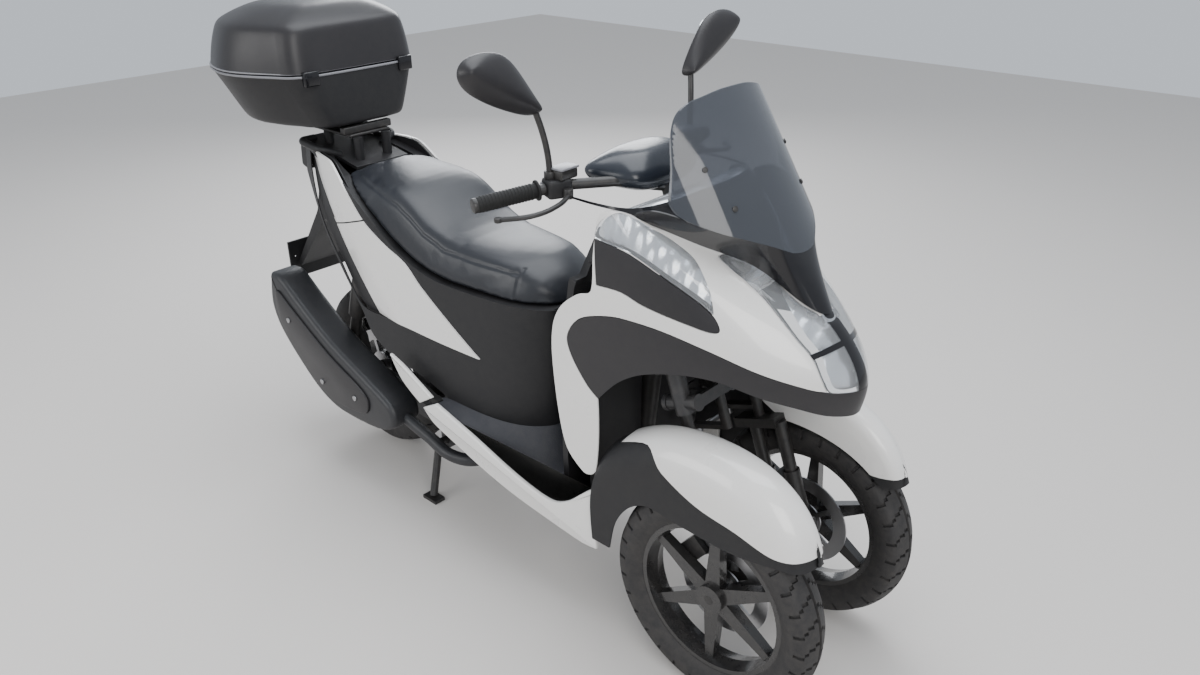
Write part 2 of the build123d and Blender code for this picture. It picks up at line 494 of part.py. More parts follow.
sheet_outer = screen_round(SCREEN_R)
sheet = sheet_outer - screen_round(SCREEN_R - SCREEN_T)
front_view = [(-12, 862), (12, 862), (70, 905), (128, 985), (165, 1080), (160, 1190), (118, 1252), (-118, 1252),
              (-160, 1190), (-165, 1080), (-128, 985), (-70, 905)]
stencil = extrude(Face(cross(-150, front_view, [6, 6, 30, 60, 60, 60, 30, 30, 60, 60, 60, 30])), amount=400,
                  dir=(1, 0, 0))
screen = sheet & stencil
above = Pos(0, 0, SCREEN_SPLIT + 300) * Box(1200, 600, 600)
screen_base = screen - Pos(0, 0, SCREEN_SPLIT + 300 - FIT) * Box(1200, 600, 600)
for y, z, back in ((46, 912, 40), (92, 975, -160)):
    lug = rod((back, y, z), (120, y, z), 22) & sheet_outer
    lug = lug - front_solid
    screen_base = screen_base + lug + mirrored(lug)
nodes["screen_base"] = screen_base
nodes["windscreen"] = screen & above

# Dash: meter panel behind the screen

dash_sections = [cross(-384, [(-190, 900), (190, 900), (160, 984), (-160, 984)], [10, 10, 30, 30]),
                 cross(-230, [(-170, 900), (170, 900), (150, 980), (-150, 980)], [10, 10, 30, 30]),
                 cross(-120, [(-100, 880), (100, 880), (80, 944), (-80, 944)], [10, 10, 20, 20])]
dash = Solid.make_loft(dash_sections, ruled=False)
behind = slab([(x + FIT, z) for x, z in inner_front] + [(-324 + FIT, 1100), (-600, 1100), (-600, 296)],
              [4, 60, 60, 60, 4, 4, 4, 4], -300, 300)
nodes["dash"] = dash - behind - rod(on_axis(0, 0, HEAD_TOP_W - 200), on_axis(0, 0, HEAD_TOP_W + 300), 74)

# Handlebar: stem, tube, cover, grips, switches, levers and mirrors

bar_foot = on_axis(0, 0, STEM_TOP_W)
stem = rod(on_axis(0, 0, ROD_W + 8), bar_foot, STEM_D)
pitman = steer_plane * Pos(-STEER_ARM / 2, 0, ROD_W + 13) * Box(STEER_ARM, 22, 10)
pitman = pitman + rod(on_axis(-STEER_ARM, 0, ROD_W + ROD_D / 2 + 1), on_axis(-STEER_ARM, 0, ROD_W + 18), 26)
GRIP_END = (-486.0, 372.0, 1046.0)
half_bar = pipe([Vector(bar_foot.X, -2, bar_foot.Z - 6), Vector(-350, 110, 1062), Vector(-408, 200, 1064),
                 Vector(GRIP_END[0], GRIP_END[1] - 8, GRIP_END[2])], 22, 40)
nodes["handlebar"] = stem + pitman + half_bar + mirrored(half_bar)
grip = rod((-434, 248, 1059), GRIP_END, 34)
nodes["grips"] = both(grip - half_bar)
switch = Pos(-415, 216, 1062) * Rot(0, 0, 23) * Box(44, 52, 40) - half_bar
nodes["switches"] = both(switch)

lever = pipe([Vector(-378, 222, 1052), Vector(-372, 300, 1040), Vector(-420, 372, 1032)], 11, 60)
lever = lever + Pos(-420, 372, 1032) * Sphere(9) + Pos(-384, 216, 1054) * Box(22, 18, 18)
nodes["levers"] = both(lever - switch - half_bar)
cover_levels = (
    # height, front x, rear x, half width at the front, half width at the rear
    (1030, -300, -400, 70, 60),
    (1058, -285, -450, 130, 110),
    (1090, -290, -462, 140, 120),
    (1128, -315, -430, 96, 80),
)
cover_wires = [level(z, [(front, -hf), (front, hf), (rear, hr), (rear, -hr)], [30, 30, 20, 20])
               for z, front, rear, hf, hr in cover_levels]
cover = Solid.make_loft(cover_wires, ruled=False)
nodes["bar_cover"] = cover - nodes["handlebar"]
mirror_view = [(222, 1206), (258, 1200), (345, 1240), (410, 1282), (418, 1312), (380, 1334), (300, 1322), (244, 1252)]
shell = extrude(Face(cross(-456, mirror_view, [8, 10, 30, 20, 14, 20, 30, 20])), amount=34, dir=(1, 0, 0))
stalk = pipe([Vector(-424, 226, 1080), Vector(-424, 232, 1130), Vector(-440, 244, 1214)], 13, 40)
nodes["mirrors"] = both(shell + stalk - switch)

# Rear body: side covers, painted tail panels, under-seat box and seat

rear_stations = (
    # station, low z, high z, half width low, half width high
    (-552, 292, 698, 100, 104),
    (-640, 292, 700, 168, 150),
    (-800, 320, 700, 190, 164),
    (-1000, 400, 722, 202, 174),
    (-1200, 540, 838, 196, 172),
    (-1400, 742, 922, 160, 142),
    (-1545, 850, 936, 92, 88),
)


def rear_form(wall, spill):
    wires = []
    last = len(rear_stations) - 1
    for i, (x, z0, z1, y0, y1) in enumerate(rear_stations):
        x = x - wall if i == 0 else x + wall if i == last else x
        y0, y1 = y0 - wall, y1 - wall
        wires.append(cross(x, [(-y0, z0 - spill), (y0, z0 - spill), (y1, z1 + spill), (-y1, z1 + spill)],
                           [4, 4, 4, 4]))
    return Solid.make_loft(wires, ruled=True)


rear_solid = rear_form(0, 0)
rear_shell = rear_solid - rear_form(WALL, 20)
spear = slab([(-737, 559), (-1070, 586), (-1183, 568), (-1290, 690), (-1420, 868), (-1460, 980), (-1330, 1000),
              (-1030, 733)], [3, 60, 40, 60, 20, 4, 4, 60], -300, 300)
tail = rear_shell & spear
nodes["tail_panels"] = tail
nodes["side_covers"] = rear_shell - spear
drop = Pos(-820, 0, 300) * Box(360, 2 * SIDE_Y + 12, 300)
nodes["floorboard"] = floor - Pos(REAR_SHIFT, 0, 0) * (rear_solid + drop) - frame
BOX_LOW, BOX_HIGH, BOX_HALF = 445.0, SEAT_LOW - FIT, 105.0
box_at, box_h = Pos(-815, 0, (BOX_LOW + BOX_HIGH) / 2), BOX_HIGH - BOX_LOW
box = box_at * Box(390, 2 * BOX_HALF, box_h) - Pos(0, 0, 4) * box_at * Box(384, 2 * BOX_HALF - 6, box_h)
rail_room = Pos(-REAR_SHIFT, 0, 0) * pipe(rail_line, RAIL_D + 2 * FIT, 50)
for x, y, z in ((-900, 143.2, 472.1), (-980, 132.4, 523.6)):
    ear = rod((x, BOX_HALF - 2, z), (x, y, z), 14) - rail_room
    box = box + ear + mirrored(ear)
nodes["under_seat_box"] = box
seat_stations = (
    # station, low z, high z, half width low, half width high
    (-556, SEAT_LOW, 764, 70, 50),
    (-610, SEAT_LOW, 794, 118, 92),
    (-720, SEAT_LOW, 800, 150, 118),
    (-860, SEAT_LOW, 800, 160, 124),
    (-960, 722, 850, 162, 126),
    (-1050, 758, 896, 160, 122),
    (-1180, 838, 904, 150, 118),
    (-1290, 896, 914, 112, 92),
)
seat_wires = [cross(x, [(-y0, z0), (y0, z0), (y1, z1), (-y1, z1)], [6, 6, 18, 18])
              for x, z0, z1, y0, y1 in seat_stations]
nodes["seat"] = Solid.make_loft(seat_wires, ruled=True)

# Tail: lamp, rear mudguard with plate holder, grab rail, rack and top case

TAIL_X = -1545.0
nodes["tail_lamp"] = slab([(TAIL_X - FIT, 852), (TAIL_X - 32, 862), (TAIL_X - 26, 924), (TAIL_X - FIT, 934)],
                          [2, 10, 14, 2], -84, 84)
guard_top = TAIL_BAR_Z - 13 - FIT
guard = slab([(-1440, guard_top), (-1515, guard_top), (-1562, 720), (-1712, 520), (-1700, 508), (-1540, 690),
              (-1436, 760)], [4, 10, 60, 4, 4, 60, 20], -66, 66)
PLATE_X, PLATE_Z, PLATE_BOLTS, PLATE_BOLT_R = -1716.0, 540.0, 150.0, 3.25
holder = slab([(PLATE_X, PLATE_Z - 70), (PLATE_X, PLATE_Z + 50), (PLATE_X + 6, PLATE_Z + 50),
               (PLATE_X + 6, PLATE_Z - 70)], 1, -95, 95)
for y in (-PLATE_BOLTS / 2, PLATE_BOLTS / 2):
    holder = holder - rod((PLATE_X - 10, y, PLATE_Z), (PLATE_X + 20, y, PLATE_Z), 2 * PLATE_BOLT_R)
nodes["rear_mudguard"] = guard + holder
grab = slab([(-1300, 896), (-1545, 938), (-1545, 948), (-1300, 906)], 2, -86, 86)
half_rail = pipe([Vector(-1396, 70, 920), Vector(-1412, 122, 940), Vector(-1496, 126, 951), Vector(-1520, 70, 944)],
                 22, 24)
grab = grab + half_rail + mirrored(half_rail)
RACK_Z, CASE_Z = 972.0, 1000.0
for x, bar_z in ((FRONT_BAR_X, FRONT_BAR_Z), (TAIL_BAR_X, TAIL_BAR_Z)):
    for y in (-46, 46):
        grab = grab + rod((x, y, bar_z + 13 + FIT), (x, y, RACK_Z), 26)
nodes["grab_rail"] = grab
rack = slab([(-1300, RACK_Z), (-1660, RACK_Z), (-1660, RACK_Z + 16), (-1300, RACK_Z + 16)], 4, -110, 110)
for y in (-70, 70):
    rack = rack + slab([(-1340, RACK_Z + 12), (-1630, RACK_Z + 12), (-1630, CASE_Z - FIT), (-1340, CASE_Z - FIT)],
                       2, y - 17, y + 17)
nodes["case_rack"] = rack
case_rows = (
    # height, then half outline from the front: (x, y) front, front corner, widest, rear corner, rear
    (CASE_Z, (-1345, 100), (-1400, 150), (-1560, 210), (-1690, 180), (-1720, 80)),
    (1150, (-1366, 165), (-1420, 222), (-1570, 285), (-1740, 235), (-CASE_BACK, 105)),
    (1240, (-1378, 150), (-1436, 206), (-1570, 264), (-1722, 216), (-1758, 98)),
    (1312, (-1440, 100), (-1470, 130), (-1570, 176), (-1670, 150), (-1694, 70)),
)


def case_form(rows, wall):
    wires = []
    for z, *half in rows:
        points = [(x, y) for x, y in half] + [(x, -y) for x, y in half[::-1]]
        points = inset(points, wall) if wall else points
        wires.append(level(z, points, [30, 50, 90, 60, 60, 60, 60, 90, 50, 30]))
    return Solid.make_loft(wires, ruled=True)


LID_GAP = 0.4
base = case_form(case_rows[:2], 0)
base_hollow = case_form([(case_rows[0][0] + CASE_WALL, *case_rows[0][1:]),
                         (case_rows[1][0] + 0.01, *case_rows[1][1:])], CASE_WALL)
nodes["case_base"] = base - base_hollow
lid_rows = ((case_rows[1][0] + LID_GAP, *case_rows[1][1:]),) + case_rows[2:]
lid = case_form(lid_rows, 0)
lid_hollow = case_form([(lid_rows[0][0] - 0.01, *lid_rows[0][1:]), lid_rows[1],
                        (lid_rows[2][0] - CASE_WALL, *lid_rows[2][1:])], CASE_WALL)
nodes["case_lid"] = lid - lid_hollow
nodes["pillion_pegs"] = both(slab([(-860, 386.8), (-960, 414.8), (-956, 432), (-856, 404)], 4, 206, 224))

rear_nodes = ("engine_block", "drive_case", "rear_arm", "silencer", "rear_shocks", "centre_stand", "stand_hanger",
              "side_stand", "side_covers", "tail_panels", "under_seat_box", "seat", "tail_lamp", "rear_mudguard",
              "grab_rail", "case_rack", "case_base", "case_lid", "pillion_pegs")
os.makedirs("parts", exist_ok=True)
for name, shape in nodes.items():
    shift = Pos(AXLE_X + REAR_SHIFT, 0, 0) if name in rear_nodes else Pos(AXLE_X, 0, 0)
    export_step(shift * shape, f"parts/{name}.step")
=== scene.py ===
import bmesh
import bpy
from math import cos, pi, radians, sin
from mathutils import Matrix, Vector


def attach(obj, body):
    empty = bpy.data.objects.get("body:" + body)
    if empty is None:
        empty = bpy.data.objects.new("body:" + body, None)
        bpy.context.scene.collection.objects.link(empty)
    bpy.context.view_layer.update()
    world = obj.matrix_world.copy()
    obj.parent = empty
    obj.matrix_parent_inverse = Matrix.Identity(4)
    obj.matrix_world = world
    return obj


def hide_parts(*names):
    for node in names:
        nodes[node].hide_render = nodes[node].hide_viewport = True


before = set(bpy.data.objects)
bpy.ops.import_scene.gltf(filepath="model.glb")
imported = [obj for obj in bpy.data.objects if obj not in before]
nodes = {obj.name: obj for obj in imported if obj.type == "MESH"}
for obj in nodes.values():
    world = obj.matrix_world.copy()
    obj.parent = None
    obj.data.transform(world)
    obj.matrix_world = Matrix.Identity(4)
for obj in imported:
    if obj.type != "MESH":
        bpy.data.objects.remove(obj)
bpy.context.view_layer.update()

# The view: a plain pale floor, soft studio light and a camera where the photograph's stood,
# a little above head height at the front right corner.

FLOOR_COLOUR = (0.66, 0.63, 0.60, 1)
FLOOR_SIZE = 14.0
CAMERA_AT = Vector((1.6595, -1.536, 1.641))
CAMERA_FORWARD = Vector((-0.602, 0.665, -0.4415))
CAMERA_RIGHT = Vector((0.7414, 0.6711, 0.0))
CAMERA_ROLL = radians(-0.42)
CAMERA_LENS = 29.03
SENSOR = 36.0
SKY_COLOUR, SKY_STRENGTH = (0.86, 0.92, 1.0), 0.75
# name, place, aim, size across, size along, power in watts, colour
LIGHTS = (
    ("sky_panel", (0.2, 0.4, 3.6), (0.0, 0.0, 0.5), 3.4, 2.6, 120, (0.93, 0.96, 1.0)),
    ("front_panel", (3.2, -2.0, 2.4), (0.2, 0.0, 0.6), 1.8, 1.8, 60, (1.0, 0.98, 0.95)),
    ("side_panel", (-1.2, -3.4, 2.0), (-0.2, 0.0, 0.5), 2.4, 1.4, 45, (1.0, 0.99, 0.97)),
    ("back_panel", (-2.8, 2.6, 2.2), (-0.2, 0.0, 0.6), 2.0, 1.6, 70, (0.95, 0.97, 1.0)),
)


def add_object(name, data):
    thing = bpy.data.objects.new(name, data)
    bpy.context.scene.collection.objects.link(thing)
    return thing


def add_material(name, **values):
    # A material with these constants on its Principled sockets, whose names take underscores for spaces.
    material = bpy.data.materials.new(name)
    material.use_nodes = True
    surface = material.node_tree.nodes["Principled BSDF"]
    for socket, value in values.items():
        surface.inputs[socket.replace("_", " ")].default_value = value
    return material


floor_mesh = bmesh.new()
bmesh.ops.create_grid(floor_mesh, x_segments=1, y_segments=1, size=FLOOR_SIZE / 2)
floor_data = bpy.data.meshes.new("studio_floor")
floor_mesh.to_mesh(floor_data)
floor_data.materials.append(add_material("pale_floor", Base_Color=FLOOR_COLOUR, Roughness=0.85))
studio_floor = add_object("studio_floor", floor_data)

camera = add_object("photo_camera", bpy.data.cameras.new("photo_camera"))
camera.data.lens, camera.data.sensor_width = CAMERA_LENS, SENSOR
forward = CAMERA_FORWARD.normalized()
level_right = CAMERA_RIGHT.normalized()
level_up = level_right.cross(forward).normalized()
right = cos(CAMERA_ROLL) * level_right + sin(CAMERA_ROLL) * level_up
up = cos(CAMERA_ROLL) * level_up - sin(CAMERA_ROLL) * level_right
camera.matrix_world = Matrix.Translation(CAMERA_AT) @ Matrix((right, up, -forward)).transposed().to_4x4()
bpy.context.scene.camera = camera

for light_name, place, aim, across, along, watts, tint in LIGHTS:
    lamp_data = bpy.data.lights.new(light_name, "AREA")
    lamp_data.shape, lamp_data.size, lamp_data.size_y = "RECTANGLE", across, along
    lamp_data.energy, lamp_data.color = watts, tint
    lamp = add_object(light_name, lamp_data)
    lamp.location = place
    lamp.rotation_euler = (Vector(aim) - Vector(place)).to_track_quat("-Z", "Y").to_euler()

sky = bpy.data.worlds.new("soft_sky")
bpy.context.scene.world = sky
sky.use_nodes = True
sky.node_tree.nodes["Background"].inputs["Color"].default_value = (*SKY_COLOUR, 1)
sky.node_tree.nodes["Background"].inputs["Strength"].default_value = SKY_STRENGTH

# Tyres: three black road tyres moulded over a round carcass, a little dusty. The profile is spun about the axle,
# and slanted grooves are pressed in over the shoulders.

AXLE_X = 0.7675
FRONT_AXLE = Vector((AXLE_X, 0.0, 0.250))
REAR_AXLE = Vector((AXLE_X - 1.350, 0.0, 0.268))
HALF_TRACK = 0.190


def add_group(name, inputs, outputs):
    # A shader effect with named sockets, built once and placed in each material that uses it.
    group = bpy.data.node_groups.new(name, "ShaderNodeTree")
    for label, kind, value in inputs:
        socket = group.interface.new_socket(name=label, in_out="INPUT", socket_type=kind)
        if value is not None:
            socket.default_value = value
    for label, kind in outputs:
        group.interface.new_socket(name=label, in_out="OUTPUT", socket_type=kind)
    return group, group.nodes.new("NodeGroupInput"), group.nodes.new("NodeGroupOutput")


def add_node(tree, kind, **settings):
    node = tree.nodes.new(kind)
    for key, value in settings.items():
        if hasattr(node, key):
            setattr(node, key, value)
        else:
            node.inputs[key.replace("_", " ")].default_value = value
    return node


def link(tree, *wires):
    # Wires of a node tree: from node, its output, to node, its input.
    for start, output, end, socket in wires:
        tree.links.new(start.outputs[output], end.inputs[socket])


def grain_group():
    # Fine uneven surface: two noises of the object's own coordinates, as a height and a roughness change.
    group, entry, exit_ = add_group(
        "Fine Grain",
        (("Scale", "NodeSocketFloat", 900.0), ("Unevenness", "NodeSocketFloat", 0.5)),
        (("Height", "NodeSocketFloat"), ("Patch", "NodeSocketFloat")))
    place = add_node(group, "ShaderNodeTexCoord")
    fine = add_node(group, "ShaderNodeTexNoise", Detail=3.0)
    broad = add_node(group, "ShaderNodeTexNoise", Scale=14.0, Detail=4.0)
    spread = add_node(group, "ShaderNodeMath", operation="MULTIPLY")
    link(group, (place, "Object", fine, "Vector"), (place, "Object", broad, "Vector"),
         (entry, "Scale", fine, "Scale"), (broad, "Fac", spread, 0), (entry, "Unevenness", spread, 1),
         (fine, "Fac", exit_, "Height"), (spread, "Value", exit_, "Patch"))
    return group


def dust_group():
    # Road dust: laid over the clean colour in patches, broken up by noise of the object's own coordinates.
    group, entry, exit_ = add_group(
        "Road Dust",
        (("Clean", "NodeSocketColor", (0.1, 0.1, 0.1, 1)), ("Dust", "NodeSocketColor", (0.30, 0.26, 0.22, 1)),
         ("Amount", "NodeSocketFloat", 0.2)),
        (("Color", "NodeSocketColor"), ("Mask", "NodeSocketFloat")))
    place = add_node(group, "ShaderNodeTexCoord")
    cloud = add_node(group, "ShaderNodeTexNoise", Scale=48.0, Detail=8.0, Roughness=0.75)
    ramp = add_node(group, "ShaderNodeValToRGB")
    ramp.color_ramp.elements[0].position, ramp.color_ramp.elements[1].position = 0.30, 0.95
    amount = add_node(group, "ShaderNodeMath", operation="MULTIPLY")
    mix = add_node(group, "ShaderNodeMix", data_type="RGBA")
    link(group, (place, "Object", cloud, "Vector"), (cloud, "Fac", ramp, "Fac"), (ramp, "Color", amount, 0),
         (entry, "Amount", amount, 1), (amount, "Value", mix, "Factor"), (entry, "Clean", mix, "A"),
         (entry, "Dust", mix, "B"), (mix, "Result", exit_, "Color"), (amount, "Value", exit_, "Mask"))
    return group


GRAIN, DUST = grain_group(), dust_group()
COAT_ROUGHNESS = 0.05


def finish_material(name, colour, roughness, grain_scale=900.0, grain_depth=0.0002, dust=0.15, unevenness=0.12,
                    metallic=0.0, coat=0.0, specular=0.5):
    # The usual finish: dusted colour, roughness that changes in patches, and a fine grain as bump.
    material = add_material(name, Metallic=metallic, Coat_Weight=coat, Coat_Roughness=COAT_ROUGHNESS,
                            Specular_IOR_Level=specular)
    tree = material.node_tree
    surface = tree.nodes["Principled BSDF"]
    grain = add_node(tree, "ShaderNodeGroup", node_tree=GRAIN)
    grain.inputs["Scale"].default_value = grain_scale
    grain.inputs["Unevenness"].default_value = unevenness
    film = add_node(tree, "ShaderNodeGroup", node_tree=DUST)
    film.inputs["Clean"].default_value = (*colour, 1)
    film.inputs["Amount"].default_value = dust
    base = add_node(tree, "ShaderNodeMath", operation="ADD")
    base.inputs[1].default_value = roughness - unevenness / 2
    rough = add_node(tree, "ShaderNodeMath", operation="MULTIPLY_ADD", use_clamp=True)
    rough.inputs[1].default_value = 0.5
    bump = add_node(tree, "ShaderNodeBump", Strength=1.0)
    bump.inputs["Distance"].default_value = grain_depth
    link(tree, (grain, "Patch", base, 0), (film, "Mask", rough, 0), (base, "Value", rough, 2),
         (film, "Color", surface, "Base Color"), (rough, "Value", surface, "Roughness"),
         (grain, "Height", bump, "Height"), (bump, "Normal", surface, "Normal"))
    return material


def dress(material, *names):
    # A carried-over node keeps its own mesh and takes this finish.
    for name in names:
        nodes[name].data.materials.clear()
        nodes[name].data.materials.append(material)


def place_mesh(name, mesh, material, body="chassis", replaced=(), sharp=40):
    # One finished piece: its mesh in place, smooth but for edges over the sharp angle, riding on its body.
    if isinstance(mesh, bmesh.types.BMesh):
        data = bpy.data.meshes.new(name)
        bmesh.ops.recalc_face_normals(mesh, faces=mesh.faces)
        mesh.to_mesh(data)
        mesh.free()
    else:
        data = mesh
    data.shade_smooth()
    data.set_sharp_from_angle(angle=radians(sharp))
    data.materials.clear()
    data.materials.append(material)
    piece = add_object(name, data)
    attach(piece, body)
    if replaced:
        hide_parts(*replaced)
    return piece


tyre_rubber = finish_material("tyre_rubber", (0.014, 0.014, 0.0155), 0.66, 260.0, 0.0005, dust=0.16)
TYRES = (
    # name, body, axle centre, outer radius, width, bead radius, tread blocks round it
    ("front_tyre_left", "wheel_front_left", FRONT_AXLE + Vector((0, HALF_TRACK, 0)), 0.250, 0.090, 0.178, 30),
    ("front_tyre_right", "wheel_front_right", FRONT_AXLE - Vector((0, HALF_TRACK, 0)), 0.250, 0.090, 0.178, 30),
    ("rear_tyre", "wheel_rear", REAR_AXLE, 0.256, 0.130, 0.165, 28),
)
# steps of the spin for each tread block; how far in the grooves begin, how deep they are and how they slope
STEPS, GROOVE_REACH, GROOVE_DEPTH, GROOVE_SLOPE = 6, 0.028, 0.0048, 0.0012
WELD = 1e-5


def tyre_mesh(outer, width, bead, blocks):
    # Half profile from the bead over the shoulder to the crown, spun about the axle, with grooves pressed in.
    half = width / 2
    rim_half = half * 0.66
    profile = ((rim_half, bead), (rim_half + 0.004, bead + 0.006), (half * 0.96, bead + 0.024),
               (half, bead + 0.52 * (outer - bead)), (half * 0.94, bead + 0.72 * (outer - bead)),
               (half * 0.84, bead + 0.83 * (outer - bead)), (half * 0.62, outer - 0.0085),
               (half * 0.34, outer - 0.0025), (half * 0.09, outer), (half * 0.05, outer - 0.0045))
    across = [(y, r) for y, r in profile] + [(-y, r) for y, r in profile[::-1]]
    mesh = bmesh.new()
    verts = [mesh.verts.new((0, y, r)) for y, r in across]
    edges = [mesh.edges.new(pair) for pair in zip(verts, verts[1:] + verts[:1])]
    bmesh.ops.spin(mesh, geom=verts + edges, cent=(0, 0, 0), axis=(0, 1, 0), angle=2 * pi, steps=blocks * STEPS,
                   use_merge=True, use_duplicate=False)
    bmesh.ops.remove_doubles(mesh, verts=mesh.verts, dist=WELD)
    bmesh.ops.recalc_face_normals(mesh, faces=mesh.faces)
    return mesh


def press_grooves(mesh, outer, width, blocks):
    # Slanted grooves: strips of faces over the shoulder are inset and pushed towards the axle.
    step = 2 * pi / (blocks * STEPS)
    chosen = []
    for face in mesh.faces:
        centre = face.calc_center_median()
        radius = (centre.x ** 2 + centre.z ** 2) ** 0.5
        if radius < outer - GROOVE_REACH or face.normal.dot(Vector((centre.x, 0, centre.z))) < 0:
            continue
        turn = int(round((pi + Vector((centre.x, centre.z)).angle_signed(Vector((0, 1)))) / step - 0.5))
        band = int(abs(centre.y) / (width / 2) * 5)
        shift = STEPS // 2 if centre.y > 0 else 0
        if band >= 1 and (turn + band + shift) % STEPS == 0:
            chosen.append(face)
    bmesh.ops.inset_region(mesh, faces=chosen, thickness=GROOVE_SLOPE, depth=-GROOVE_DEPTH, use_even_offset=True)


for name, body, centre, outer, width, bead, blocks in TYRES:
    carcass = tyre_mesh(outer, width, bead, blocks)
    press_grooves(carcass, outer, width, blocks)
    bmesh.ops.translate(carcass, verts=carcass.verts, vec=centre)
    place_mesh(name + "_tread", carcass, tyre_rubber, body, (name,))

# Rims and brake discs: cast spoked wheels in gloss black, with steel discs bolted to their inner sides. Their
# meshes are the part's own.

wheel_black = finish_material("wheel_black", (0.012, 0.012, 0.013), 0.26, 500.0, 0.00006, dust=0.10, coat=0.4)
disc_steel = finish_material("disc_steel", (0.42, 0.42, 0.43), 0.34, 1400.0, 0.00006, dust=0.1, metallic=1.0)
dress(wheel_black, "front_rim_left", "front_rim_right", "rear_rim")
dress(disc_steel, "front_disc_left", "front_disc_right", "rear_disc")

# Frame, stands and running gear: stove-painted steel tubes and dark castings, mostly hidden by the body. Their
# meshes are the part's own.

stove_black = finish_material("stove_black", (0.011, 0.011, 0.012), 0.38, 300.0, 0.00012, dust=0.14)
cast_grey = finish_material("cast_grey", (0.035, 0.036, 0.039), 0.42, 420.0, 0.0005, dust=0.16, metallic=0.3)
dark_cast = finish_material("dark_cast", (0.03, 0.03, 0.032), 0.5, 420.0, 0.0005, dust=0.14)
dress(stove_black, "frame", "centre_stand", "side_stand", "fork_left", "fork_right", "rear_shocks", "handlebar")
dress(cast_grey, "engine_block", "stand_hanger", "knuckles", "lower_arm", "upper_arm")
dress(dark_cast, "drive_case", "rear_arm")
dress(disc_steel, "tie_rod")

# Body finishes shared by many pieces: white paint over moulded panels, satin and gloss black panels, and grained
# black plastic, which also dresses the plain panels that keep the part's own mesh.

white_paint = finish_material("white_paint", (0.80, 0.785, 0.76), 0.28, 60.0, 0.00002, dust=0.06, coat=0.7)
graphite = finish_material("graphite_panel", (0.019, 0.018, 0.020), 0.38, 1200.0, 0.00010, dust=0.03, specular=0.4)
black_plastic = finish_material("black_plastic", (0.012, 0.012, 0.0135), 0.48, 1500.0, 0.0002, dust=0.04,
                                specular=0.35)
gloss_black = finish_material("gloss_black", (0.006, 0.006, 0.008), 0.14, 200.0, 0.00001, dust=0.02, coat=0.25,
                              specular=0.35)
dress(black_plastic, "arch_panel", "dash", "floorboard", "under_seat_box", "rear_mudguard", "grab_rail")
dress(gloss_black, "tail_lamp")

# Front body: one smooth moulded form from the nose tip back to the leg shields, 3 mm thick, cut along its
# panel lines into the white cowl, the dark lower panels and the clear lenses. Every panel keeps a narrow gap.

PANEL_T, PANEL_GAP = 3.0, 1.6
REACH = 300.0
FORM_LEVELS = 4
FRONT_ROWS = (
    # height, then half outline in plan from the nose tip back: (x, y), in millimetres from the front axle
    (300, (156, 0), (150, 20), (110, 60), (30, 128), (-120, 196), (-330, 230), (-470, 230)),
    (500, (156, 0), (150, 20), (110, 60), (30, 128), (-120, 196), (-330, 234), (-470, 234)),
    (655, (166, 0), (158, 26), (118, 66), (34, 132), (-120, 196), (-330, 232), (-470, 236)),
    (745, (204, 0), (196, 36), (148, 106), (36, 172), (-120, 214), (-330, 234), (-470, 236)),
    (860, (116, 0), (106, 30), (66, 102), (-16, 172), (-140, 218), (-330, 238), (-470, 232)),
    (960, (-52, 0), (-58, 36), (-74, 116), (-116, 182), (-180, 220), (-330, 236), (-470, 222)),
    (1050, (-206, 0), (-208, 36), (-210, 116), (-222, 172), (-244, 206), (-330, 222), (-470, 206)),
)
FRONT_OUTLINES = {
    # each panel's outline from the side; a point given twice is a corner
    "cowl": ((-345, 424), (-390, 470), (-412, 560), (-425, 690), (-420, 764), (-396, 814), (-350, 853), (-312, 872),
             (-308, 960), (-300, 1030), (-262, 1046), (-262, 1060), (240, 1060), (240, 1060), (240, 736),
             (240, 736), (136, 744), (40, 762), (-75, 790), (-203, 794), (-290, 770), (-326, 720), (-305, 640),
             (-302, 530), (-310, 440), (-324, 424)),
    "dark": ((-301, 625), (-301, 625), (-257, 674), (-203, 711), (-137, 734), (-75, 744), (-19, 741), (40, 722),
             (98, 704), (150, 682), (250, 664), (250, 664), (250, 732), (250, 732), (180, 734), (136, 742),
             (98, 755), (39, 774), (-49, 804), (-147, 826), (-240, 830), (-294, 820), (-340, 802), (-368, 774),
             (-380, 740), (-364, 698), (-328, 648)),
    "lens": ((-304, 984), (-222, 970), (-124, 922), (-79, 896), (-54, 878), (-54, 878), (-70, 914), (-109, 960),
             (-151, 990), (-197, 1016), (-250, 1039), (-286, 1026), (-303, 1004)),
    "badge": ((-306, 981), (-306, 981), (-298, 888), (-298, 888), (-240, 888), (-190, 872), (-99, 853), (-54, 844),
              (-38, 848), (-50, 870), (-78, 893), (-124, 919), (-223, 966)),
    "deck": ((-250, 1043), (-197, 1021), (-160, 1006), (-111, 981), (-52, 954), (-19, 935), (19, 910), (54, 887),
             (82, 870), (100, 857), (120, 852), (120, 852), (220, 1100), (220, 1100), (-480, 1100), (-480, 1100),
             (-480, 1046), (-480, 1046)),
    "lamp": ((-92, 968), (-60, 946), (-32, 928), (10, 898), (49, 865), (80, 836), (113, 803), (135, 765),
             (146, 742), (160, 736), (250, 732), (250, 732), (250, 852), (250, 852), (120, 850), (98, 853),
             (82, 866), (54, 883), (19, 906), (-19, 931), (-52, 950)),
}
LAMP_BAR = ((60, 774), (60, 786), (250, 890), (250, 876))
SPINE_SIDE, SPINE_HALF = ((0, 600), (300, 600), (300, 900), (0, 900)), 17.0
BOWL_TIP_SIDE, BOWL_TIP_HALF = ((86, 846), (86, 874), (250, 880), (250, 846)), 60.0

